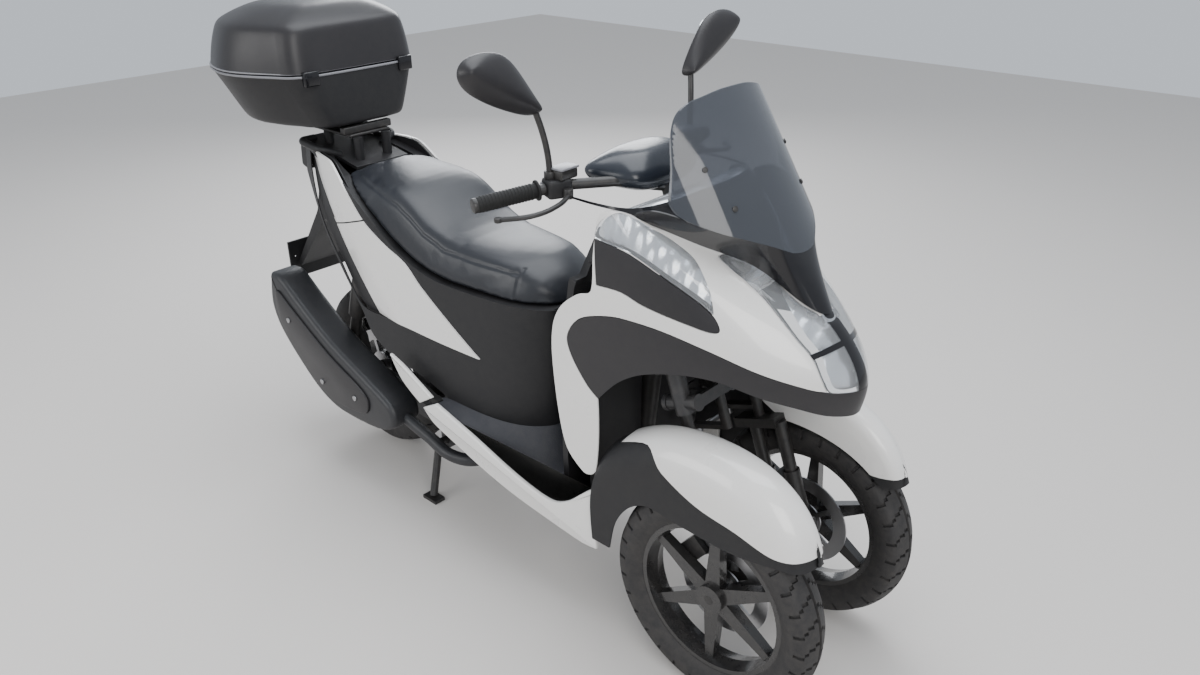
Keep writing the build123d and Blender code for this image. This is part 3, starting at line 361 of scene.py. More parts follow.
clear_lens = add_material("clear_lens", Base_Color=(0.93, 0.95, 0.97, 1), Roughness=0.03, Transmission_Weight=0.9,
                          IOR=1.5)
reflector = finish_material("reflector", (0.86, 0.87, 0.89), 0.26, 70.0, 0.0016, dust=0.0, metallic=0.8)
facets = add_node(reflector.node_tree, "ShaderNodeTexWave", Scale=11.0, Distortion=3.0, Detail=1.0)
facet_place = add_node(reflector.node_tree, "ShaderNodeTexCoord")
facet_bump = add_node(reflector.node_tree, "ShaderNodeBump", Strength=0.6, Distance=0.004)
link(reflector.node_tree, (facet_place, "Object", facets, "Vector"), (facets, "Fac", facet_bump, "Height"),
     (facet_bump, "Normal", reflector.node_tree.nodes["Principled BSDF"], "Normal"))


def at(x, y, z):
    # A place in millimetres from the front axle, as the part's stations are.
    return Vector((AXLE_X + x / 1000, y / 1000, z / 1000))


def both_sides(points):
    # An open row from the right side over the middle, the first point, to the left side.
    return [at(x, -y, z) for x, y, z in points[:0:-1]] + [at(x, y, z) for x, y, z in points]


def ring(points):
    # A closed row whose first and last points lie on the middle.
    return [at(x, y, z) for x, y, z in points] + [at(x, -y, z) for x, y, z in points[-2:0:-1]]


def discard(*pieces):
    for piece in pieces:
        bpy.data.objects.remove(piece)


def settled(piece):
    # The piece with its modifiers applied.
    graph = bpy.context.evaluated_depsgraph_get()
    piece.data = bpy.data.meshes.new_from_object(piece.evaluated_get(graph))
    piece.modifiers.clear()
    return piece


def opened(piece):
    # The piece's mesh to work on; stored puts it back.
    mesh = bmesh.new()
    mesh.from_mesh(piece.data)
    return mesh


def stored(mesh, piece):
    mesh.to_mesh(piece.data)
    mesh.free()


def walled(piece, thickness):
    # The sheet with a wall on its inner side.
    wall = piece.modifiers.new("wall", "SOLIDIFY")
    wall.thickness, wall.offset = thickness / 1000, -1.0
    return settled(piece)


def pushed(piece, push, thickness):
    # The sheet moved along its normals by push of each place, in millimetres, and given a wall on its inner side.
    mesh = opened(piece)
    for vert in mesh.verts:
        vert.co += vert.normal * push(vert.co) / 1000
    stored(mesh, piece)
    return walled(piece, thickness)


def loose_object(name, mesh):
    data = bpy.data.meshes.new(name)
    mesh.to_mesh(data)
    mesh.free()
    return add_object(name, data)


def skin(name, loops, levels, thickness=0.0, closed=False, caps=()):
    # A smooth sheet through rows of points, joined row to row, and given a wall on its inner side.
    # caps names the rows, first 0 and last -1, that are closed by a face.
    mesh = bmesh.new()
    rows = [[mesh.verts.new(point) for point in loop] for loop in loops]
    for low, high in zip(rows, rows[1:]):
        around = range(len(low) if closed else len(low) - 1)
        for i in around:
            j = (i + 1) % len(low)
            mesh.faces.new((low[i], low[j], high[j], high[i]))
    for end in caps:
        mesh.faces.new(rows[end])
    bmesh.ops.recalc_face_normals(mesh, faces=mesh.faces)
    middle = sum((vert.co for vert in mesh.verts), Vector()) / len(mesh.verts)
    outward = sum((face.normal.dot(face.calc_center_median() - middle) for face in mesh.faces))
    if outward < 0:
        bmesh.ops.reverse_faces(mesh, faces=mesh.faces)
    piece = loose_object(name, mesh)
    smooth = piece.modifiers.new("smooth", "SUBSURF")
    smooth.levels = smooth.render_levels = levels
    if thickness:
        return walled(piece, thickness)
    return settled(piece)


# lengths below this count as none
TINY = 1e-6


def curved(points, steps=5):
    # Closed smooth curve through an outline's points; a point given twice is a corner.
    result = []
    n = len(points)
    for i in range(n):
        a, b, c, d = (Vector(points[(i + k) % n]) for k in (-1, 0, 1, 2))
        if (c - b).length < TINY:
            continue
        start = Vector((0, 0)) if (b - a).length < TINY else (c - a) / 2
        end = Vector((0, 0)) if (d - c).length < TINY else (d - b) / 2
        longest = (c - b).length
        start = start.normalized() * min(start.length, longest) if start.length else start
        end = end.normalized() * min(end.length, longest) if end.length else end
        for step in range(steps):
            t = step / steps
            result.append(b * (2 * t ** 3 - 3 * t ** 2 + 1) + start * (t ** 3 - 2 * t ** 2 + t)
                          + c * (3 * t ** 2 - 2 * t ** 3) + end * (t ** 3 - t ** 2))
    return result


def grown(outline, gap):
    # The outline moved outwards by the gap.
    n = len(outline)
    area = sum(outline[i - 1].cross(outline[i]) for i in range(n))
    side = 1 if area > 0 else -1
    result = []
    for i in range(n):
        along = (outline[(i + 1) % n] - outline[i - 1]).normalized()
        result.append(outline[i] + Vector((along.y, -along.x)) * gap * side)
    return result


def slab(points, push):
    # A flat outline drawn out along a direction, as a closed solid.
    mesh = bmesh.new()
    face = mesh.faces.new([mesh.verts.new(point) for point in points])
    made = bmesh.ops.extrude_face_region(mesh, geom=[face])
    far = [vert for vert in made["geom"] if isinstance(vert, bmesh.types.BMVert)]
    bmesh.ops.translate(mesh, verts=far, vec=push)
    bmesh.ops.recalc_face_normals(mesh, faces=mesh.faces)
    return mesh


def side_slab(outline, y0, y1):
    return slab([at(x, y0, z) for x, z in outline], (0, (y1 - y0) / 1000, 0))


def prism(outline, y0=-REACH, y1=REACH):
    # Cutter with a side outline (x, z), right across the vehicle unless its ends are given.
    return loose_object("cutter", side_slab(outline, y0, y1))


def carved(source, inside, outside=(), solver="FAST"):
    # The mesh of a solid's part inside every one of the first cutters and outside the others.
    piece = add_object("carved", source.data.copy())
    for operation, cutters in (("INTERSECT", inside), ("DIFFERENCE", outside)):
        for cutter in cutters:
            cut = piece.modifiers.new("cut", "BOOLEAN")
            cut.operation, cut.solver, cut.object = operation, solver, cutter
    data = settled(piece).data
    discard(piece)
    return data


front_loops = [both_sides([(x, y, height) for x, y in half]) for height, *half in FRONT_ROWS]
front_shell = skin("front_shell", front_loops, FORM_LEVELS, PANEL_T)
front_cut = {name: prism(curved(outline)) for name, outline in FRONT_OUTLINES.items()}
front_room = {name: prism(grown(curved(outline), PANEL_GAP))
              for name, outline in FRONT_OUTLINES.items() if name != "cowl"}
lamp_bar = prism(LAMP_BAR)
spine = prism(SPINE_SIDE, -SPINE_HALF, SPINE_HALF)
front_room["tip"] = prism(BOWL_TIP_SIDE, -BOWL_TIP_HALF, BOWL_TIP_HALF)
cowl_room = [front_room[name] for name in ("dark", "lens", "badge", "deck", "lamp", "tip")]
front_panels = (
    # name, cutters inside and outside, solver, material, slot, nodes replaced
    ("painted_cowl", [front_cut["cowl"]], cowl_room, "EXACT", white_paint, "white_paint",
     ("nose_cowl", "leg_shields")),
    ("dark_panels", [front_cut["dark"]], (), "FAST", graphite, "graphite_paint", ("chin_cowl", "shield_panels")),
    ("badge_panels", [front_cut["badge"]], (), "FAST", graphite, "graphite_paint", ("nose_panels",)),
    ("screen_deck", [front_cut["deck"]], (), "FAST", gloss_black, "dark_plastic", ()),
    ("lamp_trim", [front_cut["lamp"], spine], (), "EXACT", gloss_black, "dark_plastic", ()),
    ("lamp_bars", [front_cut["lamp"], lamp_bar], [spine], "EXACT", gloss_black, "dark_plastic", ()),
    ("side_lens_covers", [front_cut["lens"]], (), "FAST", clear_lens, "clear_lens", ("side_lenses",)),
    ("headlamp_lenses", [front_cut["lamp"]], [spine, lamp_bar], "EXACT", clear_lens, "clear_lens", ("headlamp",)),
)
for name, inside, outside, solver, material, slot, replaced in front_panels:
    place_mesh(name, carved(front_shell, inside, outside, solver), material, "chassis", replaced)

LAMP_DEPTH = 16.0
lamp_back = pushed(skin("lamp_back", front_loops, FORM_LEVELS), lambda place: -LAMP_DEPTH, PANEL_T)
place_mesh("side_reflectors", carved(lamp_back, [front_room["lens"]]), reflector, "chassis")
place_mesh("headlamp_reflectors", carved(lamp_back, [front_room["lamp"]]), reflector, "chassis")
discard(*front_cut.values(), *front_room.values(), lamp_bar, spine, front_shell, lamp_back)

# Inner shield: the moulded wall behind the cowl, trimmed flush with the cowl's rear edge above the knees.

FLUSH_SIDE, FLUSH_HALF = ((-420, 868), (-300, 868), (-296, 1080), (-420, 1080)), 176.0
inner = opened(nodes["inner_shield"])
bmesh.ops.remove_doubles(inner, verts=inner.verts, dist=TINY)
inner_wall = loose_object("inner_wall", inner)
flush_cuts = [prism(FLUSH_SIDE, *span) for span in ((-REACH, -FLUSH_HALF), (FLUSH_HALF, REACH))]
place_mesh("inner_wall", carved(inner_wall, (), flush_cuts, "EXACT"), black_plastic, replaced=("inner_shield",),
           sharp=30)
discard(inner_wall, *flush_cuts)

# Screen: a smoked pane on the upper part of one leaning round sheet, screwed to a glossy black bowl that rises
# from the deck's rim. Four screws with washers hold the pane.

SCREEN_R, SCREEN_T = 215.0, 3.0
SCREEN_FOOT, SCREEN_TOP = (112.0, 850.0), (-160.0, 1275.0)
PANE_FRONT = ((0, 976), (32, 979), (54, 988), (82, 1001), (118, 1016), (152, 1030), (184, 1051), (190, 1076),
              (184, 1100), (174, 1135), (160, 1185), (142, 1222), (118, 1242), (90, 1251), (36, 1261))
BOWL_RIM = ((100, 0, 861), (84, 27, 870), (42, 46, 896), (-19, 56, 935), (-60, 78, 958), (-111, 125, 981),
            (-160, 160, 1006), (-238, 204, 1038))
BOWL_TOP = ((31, 0, 975), (27, 32, 978), (17, 53, 988), (1, 81, 1001), (-29, 117, 1016), (-66, 152, 1030),
            (-118, 184, 1051), (-180, 206, 1064))
SCREWS = ((134, 1135), (114, 1068))
smoked_glass = add_material("smoked_glass", Base_Color=(0.10, 0.11, 0.13, 1), Roughness=0.06,
                            Transmission_Weight=0.6, IOR=1.5)


def screen_x(y, z, radius=SCREEN_R):
    # Station of the sheet's face at a place across and up.
    lean = (SCREEN_TOP[0] - SCREEN_FOOT[0]) / (SCREEN_TOP[1] - SCREEN_FOOT[1])
    return SCREEN_FOOT[0] - SCREEN_R + lean * (z - SCREEN_FOOT[1]) + (radius ** 2 - y ** 2) ** 0.5


sheet_loops = []
for z in range(930, 1281, 70):
    across = [SCREEN_R * sin(radians(turn)) for turn in range(-75, 76, 5)]
    sheet_loops.append([at(screen_x(y, z), y, z) for y in across])
screen_sheet = skin("screen_sheet", sheet_loops, 3, SCREEN_T)
half_pane = [Vector(point) for point in PANE_FRONT]
pane_outline = curved(half_pane + [Vector((-y, z)) for y, z in PANE_FRONT[:0:-1]])
stencil = loose_object("stencil", slab([at(-400, y, z) for y, z in pane_outline], (0.7, 0, 0)))
place_mesh("smoked_pane", carved(screen_sheet, [stencil]), smoked_glass, "chassis", ("windscreen",))
discard(stencil, screen_sheet)

bowl_middle = [tuple(low * 0.6 + high * 0.4 for low, high in zip(rim, top)) for rim, top in zip(BOWL_RIM, BOWL_TOP)]
bowl = skin("bowl", [both_sides(row) for row in (BOWL_RIM, bowl_middle, BOWL_TOP)], 4, SCREEN_T)
place_mesh("screen_bowl", bowl.data, gloss_black, "chassis", ("screen_base",))
discard(bowl)

# Front mudguards: each a painted beak with a soft crease, pressed over a dark skirt that runs down behind
# the tyre. Both are cut from one arched form over the wheel and ride on its fork.

MUDGUARD_ROWS = (
    # station, top height, outer and inner distance from the vehicle's middle
    (-318, 455, 244, 140), (-296, 500, 244, 140), (-262, 532, 244, 139), (-216, 562, 244, 138), (-150, 592, 244, 138),
    (-60, 606, 244, 138), (30, 604, 243, 138), (110, 582, 240, 140), (168, 542, 234, 144), (204, 498, 225, 151),
    (224, 450, 212, 160), (232, 400, 200, 168))
BEAK_SIDE = ((-250, 531), (-250, 531), (-206, 592), (-110, 616), (20, 622), (120, 600), (205, 540), (240, 484),
             (232, 462), (212, 456), (150, 452), (70, 474), (-25, 492), (-115, 530), (-168, 564))
SKIRT_SIDE = ((-290, 545), (-246, 620), (-100, 640), (150, 640), (250, 500), (222, 436), (150, 428), (60, 418),
              (-60, 424), (-150, 430), (-200, 402), (-238, 345), (-254, 268), (-254, 268), (-306, 268), (-306, 268),
              (-312, 380))
BEAK_OUT, GUARD_LOW = 3.0, 235


def mudguard_rows(side, lift):
    rows = []
    for x, top, outer, inner in MUDGUARD_ROWS:
        inner, outer, top = inner - lift, outer + lift, top + lift
        half = ((outer, GUARD_LOW), (outer, (GUARD_LOW + top - 96) / 2), (outer, top - 96), (outer - 5, top - 54),
                (outer - 24, top - 20), (outer - 48, top - 4), (inner + 30, top), (inner + 10, top - 5),
                (inner, top - 26), (inner - 1, top - 60), (inner - 1, top - 100))
        rows.append([at(x, side * y, z) for y, z in half])
    return rows


for side_name, side in (("left", 1), ("right", -1)):
    beak_form = skin("beak_form", mudguard_rows(side, BEAK_OUT), FORM_LEVELS - 1, PANEL_T)
    skirt_form = skin("skirt_form", mudguard_rows(side, 0.0), FORM_LEVELS - 1, PANEL_T)
    beak_cut = prism(curved(BEAK_SIDE))
    skirt_cut = prism(curved(SKIRT_SIDE))
    place_mesh(f"beak_{side_name}", carved(beak_form, [beak_cut]), white_paint, f"fork_{side_name}",
               (f"fender_{side_name}",))
    place_mesh(f"dark_skirt_{side_name}", carved(skirt_form, [skirt_cut]), black_plastic, f"fork_{side_name}",
               replaced=(f"skirt_{side_name}",))
    discard(beak_form, skirt_form, beak_cut, skirt_cut)

# Rear body: one tapering form from behind the footwell to the tail lamp, cut into the black side covers and the
# painted tail panels with a soft crease, a seam and a slot. A black backing shows through the seam and the slot,
# and a lip closes the covers' top edge.

REAR_STATIONS = (-640, -800, -1000, -1200, -1400, -1545)
REAR_ROWS = (
    # height, front station, the front corner's station and half width, then half widths at the rear stations
    (280, -548, -556, 104, 168, 191, 205, 206, 186, 130),
    (420, -546, -554, 104, 162, 184, 202, 203, 182, 120),
    (560, -545, -553, 103, 157, 175, 190, 196, 174, 110),
    (700, -544, -552, 102, 150, 164, 177, 186, 164, 100),
    (830, -544, -552, 102, 143, 154, 166, 174, 152, 92),
    (960, -544, -552, 102, 138, 148, 156, 160, 138, 84),
)
TAIL_SIDE = ((-1484, 938), (-1484, 938), (-1335, 932), (-1293, 908), (-1174, 808), (-1083, 762), (-1005, 731),
             (-948, 684), (-836, 607), (-743, 545), (-743, 545), (-877, 551), (-1003, 558), (-1112, 558),
             (-1184, 562), (-1222, 586), (-1292, 660), (-1377, 731), (-1436, 790), (-1480, 868))
TAIL_SEAM = ((-1330, 756), (-1330, 760), (-1160, 812), (-1160, 808))
TAIL_SLOT = ((-1478, 876), (-1478, 876), (-1413, 850), (-1333, 774), (-1333, 774), (-1361, 768), (-1440, 812))
COVER_SIDE = ((-530, 706), (-530, 706), (-640, 706), (-800, 707), (-890, 710), (-960, 724), (-1050, 760),
              (-1180, 838), (-1290, 896), (-1400, 926), (-1545, 940), (-1545, 940), (-1545, 852), (-1545, 852),
              (-1400, 742), (-1200, 556), (-1150, 492), (-1060, 452), (-980, 440), (-852, 398), (-780, 330),
              (-700, 292), (-530, 292), (-530, 292))
CREASE_LOW, CREASE_HIGH, CREASE_SLOPE, CREASE_MOST = Vector((-1071, 600)), Vector((-1270, 800)), 0.20, 16.0
TAIL_PROUD, BACKING_DEPTH = 4.0, 10.0
COVER_TOP = ((-560, 706), (-880, 706), (-960, 722), (-1050, 757), (-1180, 834), (-1290, 892), (-1400, 924),
             (-1540, 936))
LIP_T, LIP_WIDTH = 7.0, 40.0


def crease(place):
    # How far the tail panel stands proud of the body there: less and less below the crease's line.
    along = (CREASE_HIGH - CREASE_LOW).normalized()
    below = along.cross(Vector(((place.x - AXLE_X) * 1000, place.z * 1000)) - CREASE_LOW)
    return TAIL_PROUD - min(max(0.0, below) * CREASE_SLOPE, CREASE_MOST)


rear_loops = []
for height, front, corner, y_corner, *widths in REAR_ROWS:
    half = [(front, 0), (min(front, -545), 60), (corner, y_corner), *zip(REAR_STATIONS, widths)]
    rear_loops.append(both_sides([(x, y, height) for x, y in half]))
cover_form = skin("cover_form", rear_loops, FORM_LEVELS, PANEL_T)
tail_form = pushed(skin("tail_form", rear_loops, FORM_LEVELS), crease, 2 * PANEL_T)
rear_cut = {"tail": prism(curved(TAIL_SIDE)), "slot": prism(curved(TAIL_SLOT)),
            "cover": prism(curved(COVER_SIDE)), "seam": prism(TAIL_SEAM)}
place_mesh("tail_skins", carved(tail_form, [rear_cut["tail"]], [rear_cut["slot"], rear_cut["seam"]]), white_paint,
           "chassis", ("tail_panels",))
place_mesh("cover_skins", carved(cover_form, [rear_cut["cover"]], [rear_cut["tail"]]), black_plastic,
           replaced=("side_covers",))
lip_form = skin("lip_form", rear_loops, FORM_LEVELS - 1, LIP_WIDTH)
lip_band = prism(COVER_TOP + tuple((x, z - LIP_T) for x, z in COVER_TOP[::-1]))
place_mesh("cover_lips", carved(lip_form, [lip_band]), black_plastic)
backing = pushed(skin("backing", rear_loops, FORM_LEVELS), lambda place: -BACKING_DEPTH, PANEL_T)
place_mesh("tail_backing", carved(backing, [rear_cut["tail"]]), black_plastic)
discard(*rear_cut.values(), cover_form, tail_form, backing, lip_form, lip_band)

# Seat: one foam pad under black vinyl, a crowned rider's place with a rear hump, and a narrowing pillion part.
# The cover is blown up a little over its foam by cloth pressure; the seams are sewn in afterwards.

SEAT_ROWS = (
    # station, base, edge and crown height, half widths at the base, the side and the edge
    (-558, 710, 728, 740, 48, 46, 26), (-572, 708, 748, 760, 78, 74, 44), (-600, 707, 772, 784, 108, 100, 58),
    (-650, 707, 788, 798, 134, 122, 72), (-720, 706, 794, 803, 148, 134, 88), (-800, 706, 796, 804, 155, 143, 103),
    (-890, 708, 802, 808, 162, 150, 116), (-960, 722, 832, 838, 166, 153, 121), (-1010, 740, 866, 872, 168, 154, 121),
    (-1060, 762, 890, 897, 168, 153, 119), (-1110, 790, 897, 906, 166, 150, 117),
    (-1190, 838, 901, 911, 160, 143, 112), (-1260, 878, 907, 915, 142, 128, 100),
    (-1292, 894, 909, 914, 122, 110, 88))
VOXEL = 0.006
CLOTH_PRESSURE, CLOTH_FRAMES, PUFF_LIMIT = 4.0, 20, 0.006
# the cover is held down near the base: up to this height, and to this share of its puff
HELD_HEIGHT, HELD_SHARE = 0.010, 0.15
# the seam runs round at this share of the height, and across the front below that and out from the middle
SEAM_EDGE, SEAM_FRONT, SEAM_RISE, SEAM_IN = 0.80, -655.0, 0.012, 0.03
SEAM_HALF, SEAM_DEPTH = 0.0035, 0.0022


def between(rows, x, column):
    # A row table's column at a station, in straight steps.
    for left, right in zip(rows, rows[1:]):
        if right[0] <= x <= left[0]:
            share = (x - left[0]) / (right[0] - left[0])
            return left[column] + share * (right[column] - left[column])
    return rows[0][column] if x > rows[0][0] else rows[-1][column]


seat_loops = []
for x, base, edge, crown, y_base, y_side, y_edge in SEAT_ROWS:
    half = ((0, base), (y_base * 0.6, base), (y_base, base), (y_base, base + 0.16 * (edge - base)),
            (y_side, base + 0.62 * (edge - base)), (y_side - 0.35 * (y_side - y_edge), edge - 0.12 * (edge - base)),
            (y_edge, edge), (y_edge * 0.5, crown - 1), (0, crown))
    seat_loops.append(ring([(x, y, z) for y, z in half]))
seat_form = skin("seat_form", seat_loops, 1, closed=True)
cushion = opened(seat_form)
bmesh.ops.holes_fill(cushion, edges=cushion.edges)
bmesh.ops.recalc_face_normals(cushion, faces=cushion.faces)
stored(cushion, seat_form)
remesh = seat_form.modifiers.new("skin", "REMESH")
remesh.mode, remesh.voxel_size = "VOXEL", VOXEL
settled(seat_form)
still = [vert.co.copy() for vert in seat_form.data.vertices]
press = seat_form.modifiers.new("press", "CLOTH")
press.settings.use_pressure, press.settings.uniform_pressure_force = True, CLOTH_PRESSURE
press.settings.effector_weights.gravity = 0.0
for frame_number in range(1, CLOTH_FRAMES + 1):
    bpy.context.scene.frame_set(frame_number)
settled(seat_form)
bpy.context.scene.frame_set(1)
for vert, home in zip(seat_form.data.vertices, still):
    shift = vert.co - home
    if home.z < between(SEAT_ROWS, (home.x - AXLE_X) * 1000, 1) / 1000 + HELD_HEIGHT:
        shift *= HELD_SHARE
    vert.co = home + shift * min(1.0, PUFF_LIMIT / max(shift.length, TINY))
soften = seat_form.modifiers.new("soften", "SMOOTH")
soften.factor, soften.iterations = 0.5, 6
finer = seat_form.modifiers.new("finer", "SUBSURF")
finer.levels = finer.render_levels = 1
settled(seat_form)
stitched = opened(seat_form)
for vert in stitched.verts:
    x, y, z = (vert.co.x - AXLE_X) * 1000, abs(vert.co.y), vert.co.z
    base, edge = (between(SEAT_ROWS, x, column) / 1000 for column in (1, 2))
    level = base + SEAM_EDGE * (edge - base)
    near = abs(z - level) if x < SEAM_FRONT - 5 else 1.0
    if z < level + SEAM_RISE and y > SEAM_IN:
        near = min(near, abs(vert.co.x - AXLE_X - SEAM_FRONT / 1000))
    if near < SEAM_HALF * 2:
        vert.co -= vert.normal * SEAM_DEPTH * 0.5 * (1 + cos(pi * near / (SEAM_HALF * 2)))
stored(stitched, seat_form)
vinyl = finish_material("seat_vinyl", (0.016, 0.018, 0.023), 0.34, 700.0, 0.0003, dust=0.02)
seat_pad = place_mesh("seat_pad", seat_form.data, vinyl, "seat", ("seat",), sharp=60)
discard(seat_form)

# Top case: a deep plastic base with a flat front face and a ridge at each front corner, a glossier lid above it,
# a light rim strip on each half, two hinges at the front corners and a lock at the back.

CASE_ROWS = (
    # height, front station, ridge station and half width, widest station and half width, rear station and half
    # width, back station
    (1000, -1352, -1392, 138, -1560, 196, -1682, 164, -1714),
    (1010, -1346, -1388, 144, -1560, 208, -1692, 176, -1724),
    (1090, -1354, -1402, 184, -1565, 248, -1716, 208, -1756),
    (1146, -1362, -1412, 208, -1570, 280, -1738, 232, -1782),
    (1154, -1364, -1414, 208, -1570, 280, -1738, 232, -1782),
    (1200, -1370, -1420, 206, -1570, 272, -1732, 226, -1772),
    (1256, -1380, -1430, 198, -1570, 254, -1718, 212, -1752),
    (1272, -1388, -1436, 188, -1570, 240, -1710, 200, -1742),
    (1304, -1446, -1478, 122, -1570, 160, -1666, 134, -1692),
    (1312, -1484, -1504, 84, -1570, 112, -1634, 92, -1656))
CASE_LEVELS = 3
CASE_WALL, RIM_OUT = 3.5, 3.5
LID_RIM_ROW = (1154, -1369, -1419, 208, -1570, 280, -1738, 232, -1782)


def case_row(row, out=0.0, z=None):
    # One level of the case: flat front, tight ridge, bulging side, tight rear corner and flat back.
    height, front, ridge, y_ridge, wide, y_wide, rear, y_rear, back = row
    half = ((front + out, 0), (front + out - 1, y_ridge * 0.5), (front + out - 6, y_ridge * 0.86),
            (ridge + 7, y_ridge - 4 + out), (ridge, y_ridge + out), (ridge - 8, y_ridge + 3 + out),
            ((ridge + wide) / 2, (y_ridge + y_wide) / 2 + 8 + out), (wide, y_wide + out),
            ((rear + wide) / 2, (y_rear + y_wide) / 2 + 8 + out), (rear - out, y_rear + out),
            (back - out + 6, y_rear * 0.72), (back - out, y_rear * 0.3), (back - out, 0))
    level = height if z is None else z
    return ring([(x, y, level) for x, y in half])


case_base_form = skin("case_base_form", [case_row(row) for row in CASE_ROWS[:4]], CASE_LEVELS, CASE_WALL, True, (0,))
place_mesh("case_shell", case_base_form.data, black_plastic, replaced=("case_base",), sharp=50)
lid_form = skin("lid_form", [case_row(row) for row in CASE_ROWS[4:]], CASE_LEVELS, CASE_WALL, True, (-1,))
place_mesh("lid_shell", lid_form.data, graphite, "case_lid", ("case_lid",), sharp=50)
rim_grey = finish_material("rim_grey", (0.20, 0.20, 0.215), 0.32, 900.0, 0.0001, dust=0.03)
for rim_name, rim_body, row, low, high in (("base_rim", "chassis", CASE_ROWS[3], 1142.0, 1148.6),
                                           ("lid_rim", "case_lid", LID_RIM_ROW, 1150.8, 1156.0)):
    rim_loops = [case_row(row, out, z) for out, z in ((0, low), (RIM_OUT, low + 1), (RIM_OUT, high - 1), (0, high),
                                                      (-4, high), (-4, low))]
    rim = skin("rim", rim_loops + rim_loops[:1], 1, 0.0, True)
    place_mesh(rim_name, rim.data, rim_grey, rim_body, sharp=30)
    discard(rim)
discard(case_base_form, lid_form)


def rounded(mesh, edges, bevel, segments):
    bmesh.ops.bevel(mesh, geom=edges, offset=bevel / 1000, affect="EDGES", segments=segments, profile=0.5,
                    material=-1)
    return mesh


def block(low, high, bevel, segments=3):
    # Rounded box between two corners given in millimetres from the front axle.
    low, high = at(*low), at(*high)
    mesh = bmesh.new()
    bmesh.ops.create_cube(mesh, size=1.0)
    size = high - low
    bmesh.ops.scale(mesh, vec=(abs(size.x), abs(size.y), abs(size.z)), verts=mesh.verts)
    bmesh.ops.translate(mesh, vec=(low + high) / 2, verts=mesh.verts)
    return rounded(mesh, mesh.edges, bevel, segments)


def merged(*meshes):
    # Several loose shapes as one mesh.
    whole = bmesh.new()
    for mesh in meshes:
        data = bpy.data.meshes.new("part")
        mesh.to_mesh(data)
        mesh.free()
        whole.from_mesh(data)
        bpy.data.meshes.remove(data)
    return whole


def disc(centre, axis, radius, height, segments=24, bevel=0.0):
    # Short round bar about a point, along an axis.
    mesh = bmesh.new()
    bmesh.ops.create_cone(mesh, cap_ends=True, segments=segments, radius1=radius / 1000, radius2=radius / 1000,
                          depth=height / 1000)
    if bevel:
        rims = [edge for edge in mesh.edges if abs(edge.verts[0].co.z - edge.verts[1].co.z) < TINY]
        rounded(mesh, rims, bevel, 2)
    turn = Vector(axis).to_track_quat("Z", "Y").to_matrix().to_4x4()
    bmesh.ops.transform(mesh, matrix=Matrix.Translation(at(*centre)) @ turn, verts=mesh.verts)
    return mesh


def tube(points, radius, sides=10, steps=8):
    # Round tube through points, on a smooth curve.
    line = bpy.data.curves.new("line", "CURVE")
    line.dimensions, line.bevel_depth, line.bevel_resolution = "3D", radius / 1000, sides // 4
    line.use_fill_caps, line.resolution_u = True, steps
    spline = line.splines.new("BEZIER")
    spline.bezier_points.add(len(points) - 1)
    for knot, point in zip(spline.bezier_points, points):
        knot.co, knot.handle_left_type, knot.handle_right_type = at(*point), "AUTO", "AUTO"
    piece = add_object("line", line)
    graph = bpy.context.evaluated_depsgraph_get()
    data = bpy.data.meshes.new_from_object(piece.evaluated_get(graph))
    mesh = bmesh.new()
    mesh.from_mesh(data)
    discard(piece)
    return mesh


def bevelled(outline, y0, y1, bevel, segments=3):
    # A side-view outline as a slab with rounded edges.
    mesh = side_slab(outline, y0, y1)
    rims = [edge for edge in mesh.edges if abs(edge.verts[0].co.y - edge.verts[1].co.y) < TINY]
    return rounded(mesh, rims, bevel, segments)


HINGE_IN, HINGE_OUT, LOCK_FACE = 128, 172, -1786
hinges = [block((-1372, side * HINGE_IN, 1122), (-1356, side * HINGE_OUT, 1160), 3) for side in (-1, 1)]
lock = merged(block((LOCK_FACE + 16, -38, 1086), (LOCK_FACE, 38, 1142), 4),
              disc((LOCK_FACE, 0, 1112), (1, 0, 0), 9, 4))
place_mesh("case_hinges", merged(*hinges), gloss_black, sharp=35)
place_mesh("case_lock", lock, gloss_black, sharp=35)

# Silencer: one long folded box with rounded edges, a heat shield screwed to its outer side, a short outlet at the
# back and the header pipe that brings the gas from the engine.

SILENCER_SIDE = ((-1590, 566), (-1590, 566), (-1545, 566), (-1470, 516), (-1330, 430), (-1130, 346), (-1056, 306),
                 (-1052, 250), (-1130, 214), (-1306, 206), (-1396, 232), (-1490, 300), (-1580, 392), (-1608, 470))
SHIELD_SIDE = ((-1556, 522), (-1500, 490), (-1330, 392), (-1190, 334), (-1150, 300), (-1170, 254), (-1306, 240),
               (-1386, 262), (-1474, 328), (-1544, 400), (-1566, 464))
HEADER = ((-800, -96, 215), (-800, -140, 215), (-860, -180, 215), (-960, -186, 240), (-1066, -188, 268))
SILENCER_OUT, SILENCER_IN, SHIELD_OUT = -236, -142, -243
PIPE_R, OUTLET = 17, (-1610, -189, 500)
SHIELD_SCREWS = ((-1508, 440), (-1210, 290), (-1370, 286))
silencer_dark = finish_material("silencer_dark", (0.016, 0.017, 0.020), 0.42, 420.0, 0.0003, dust=0.05)
silencer = merged(bevelled(curved(SILENCER_SIDE, 4), SILENCER_OUT, SILENCER_IN, 16, 4), tube(HEADER, PIPE_R, 16),
                  disc(OUTLET, (1, 0, 0), PIPE_R, 36, 24, 2))
place_mesh("silencer_box", silencer, silencer_dark, replaced=("silencer",))
shield = bevelled(curved(SHIELD_SIDE, 4), SHIELD_OUT, SHIELD_OUT + 8, 3)
place_mesh("silencer_shield", shield, graphite)
shield_screws = [disc((x, SHIELD_OUT - 1, z), (0, 1, 0), 8, 5, 16, 1) for x, z in SHIELD_SCREWS]
place_mesh("shield_screws", merged(*shield_screws), disc_steel, "chassis", sharp=30)

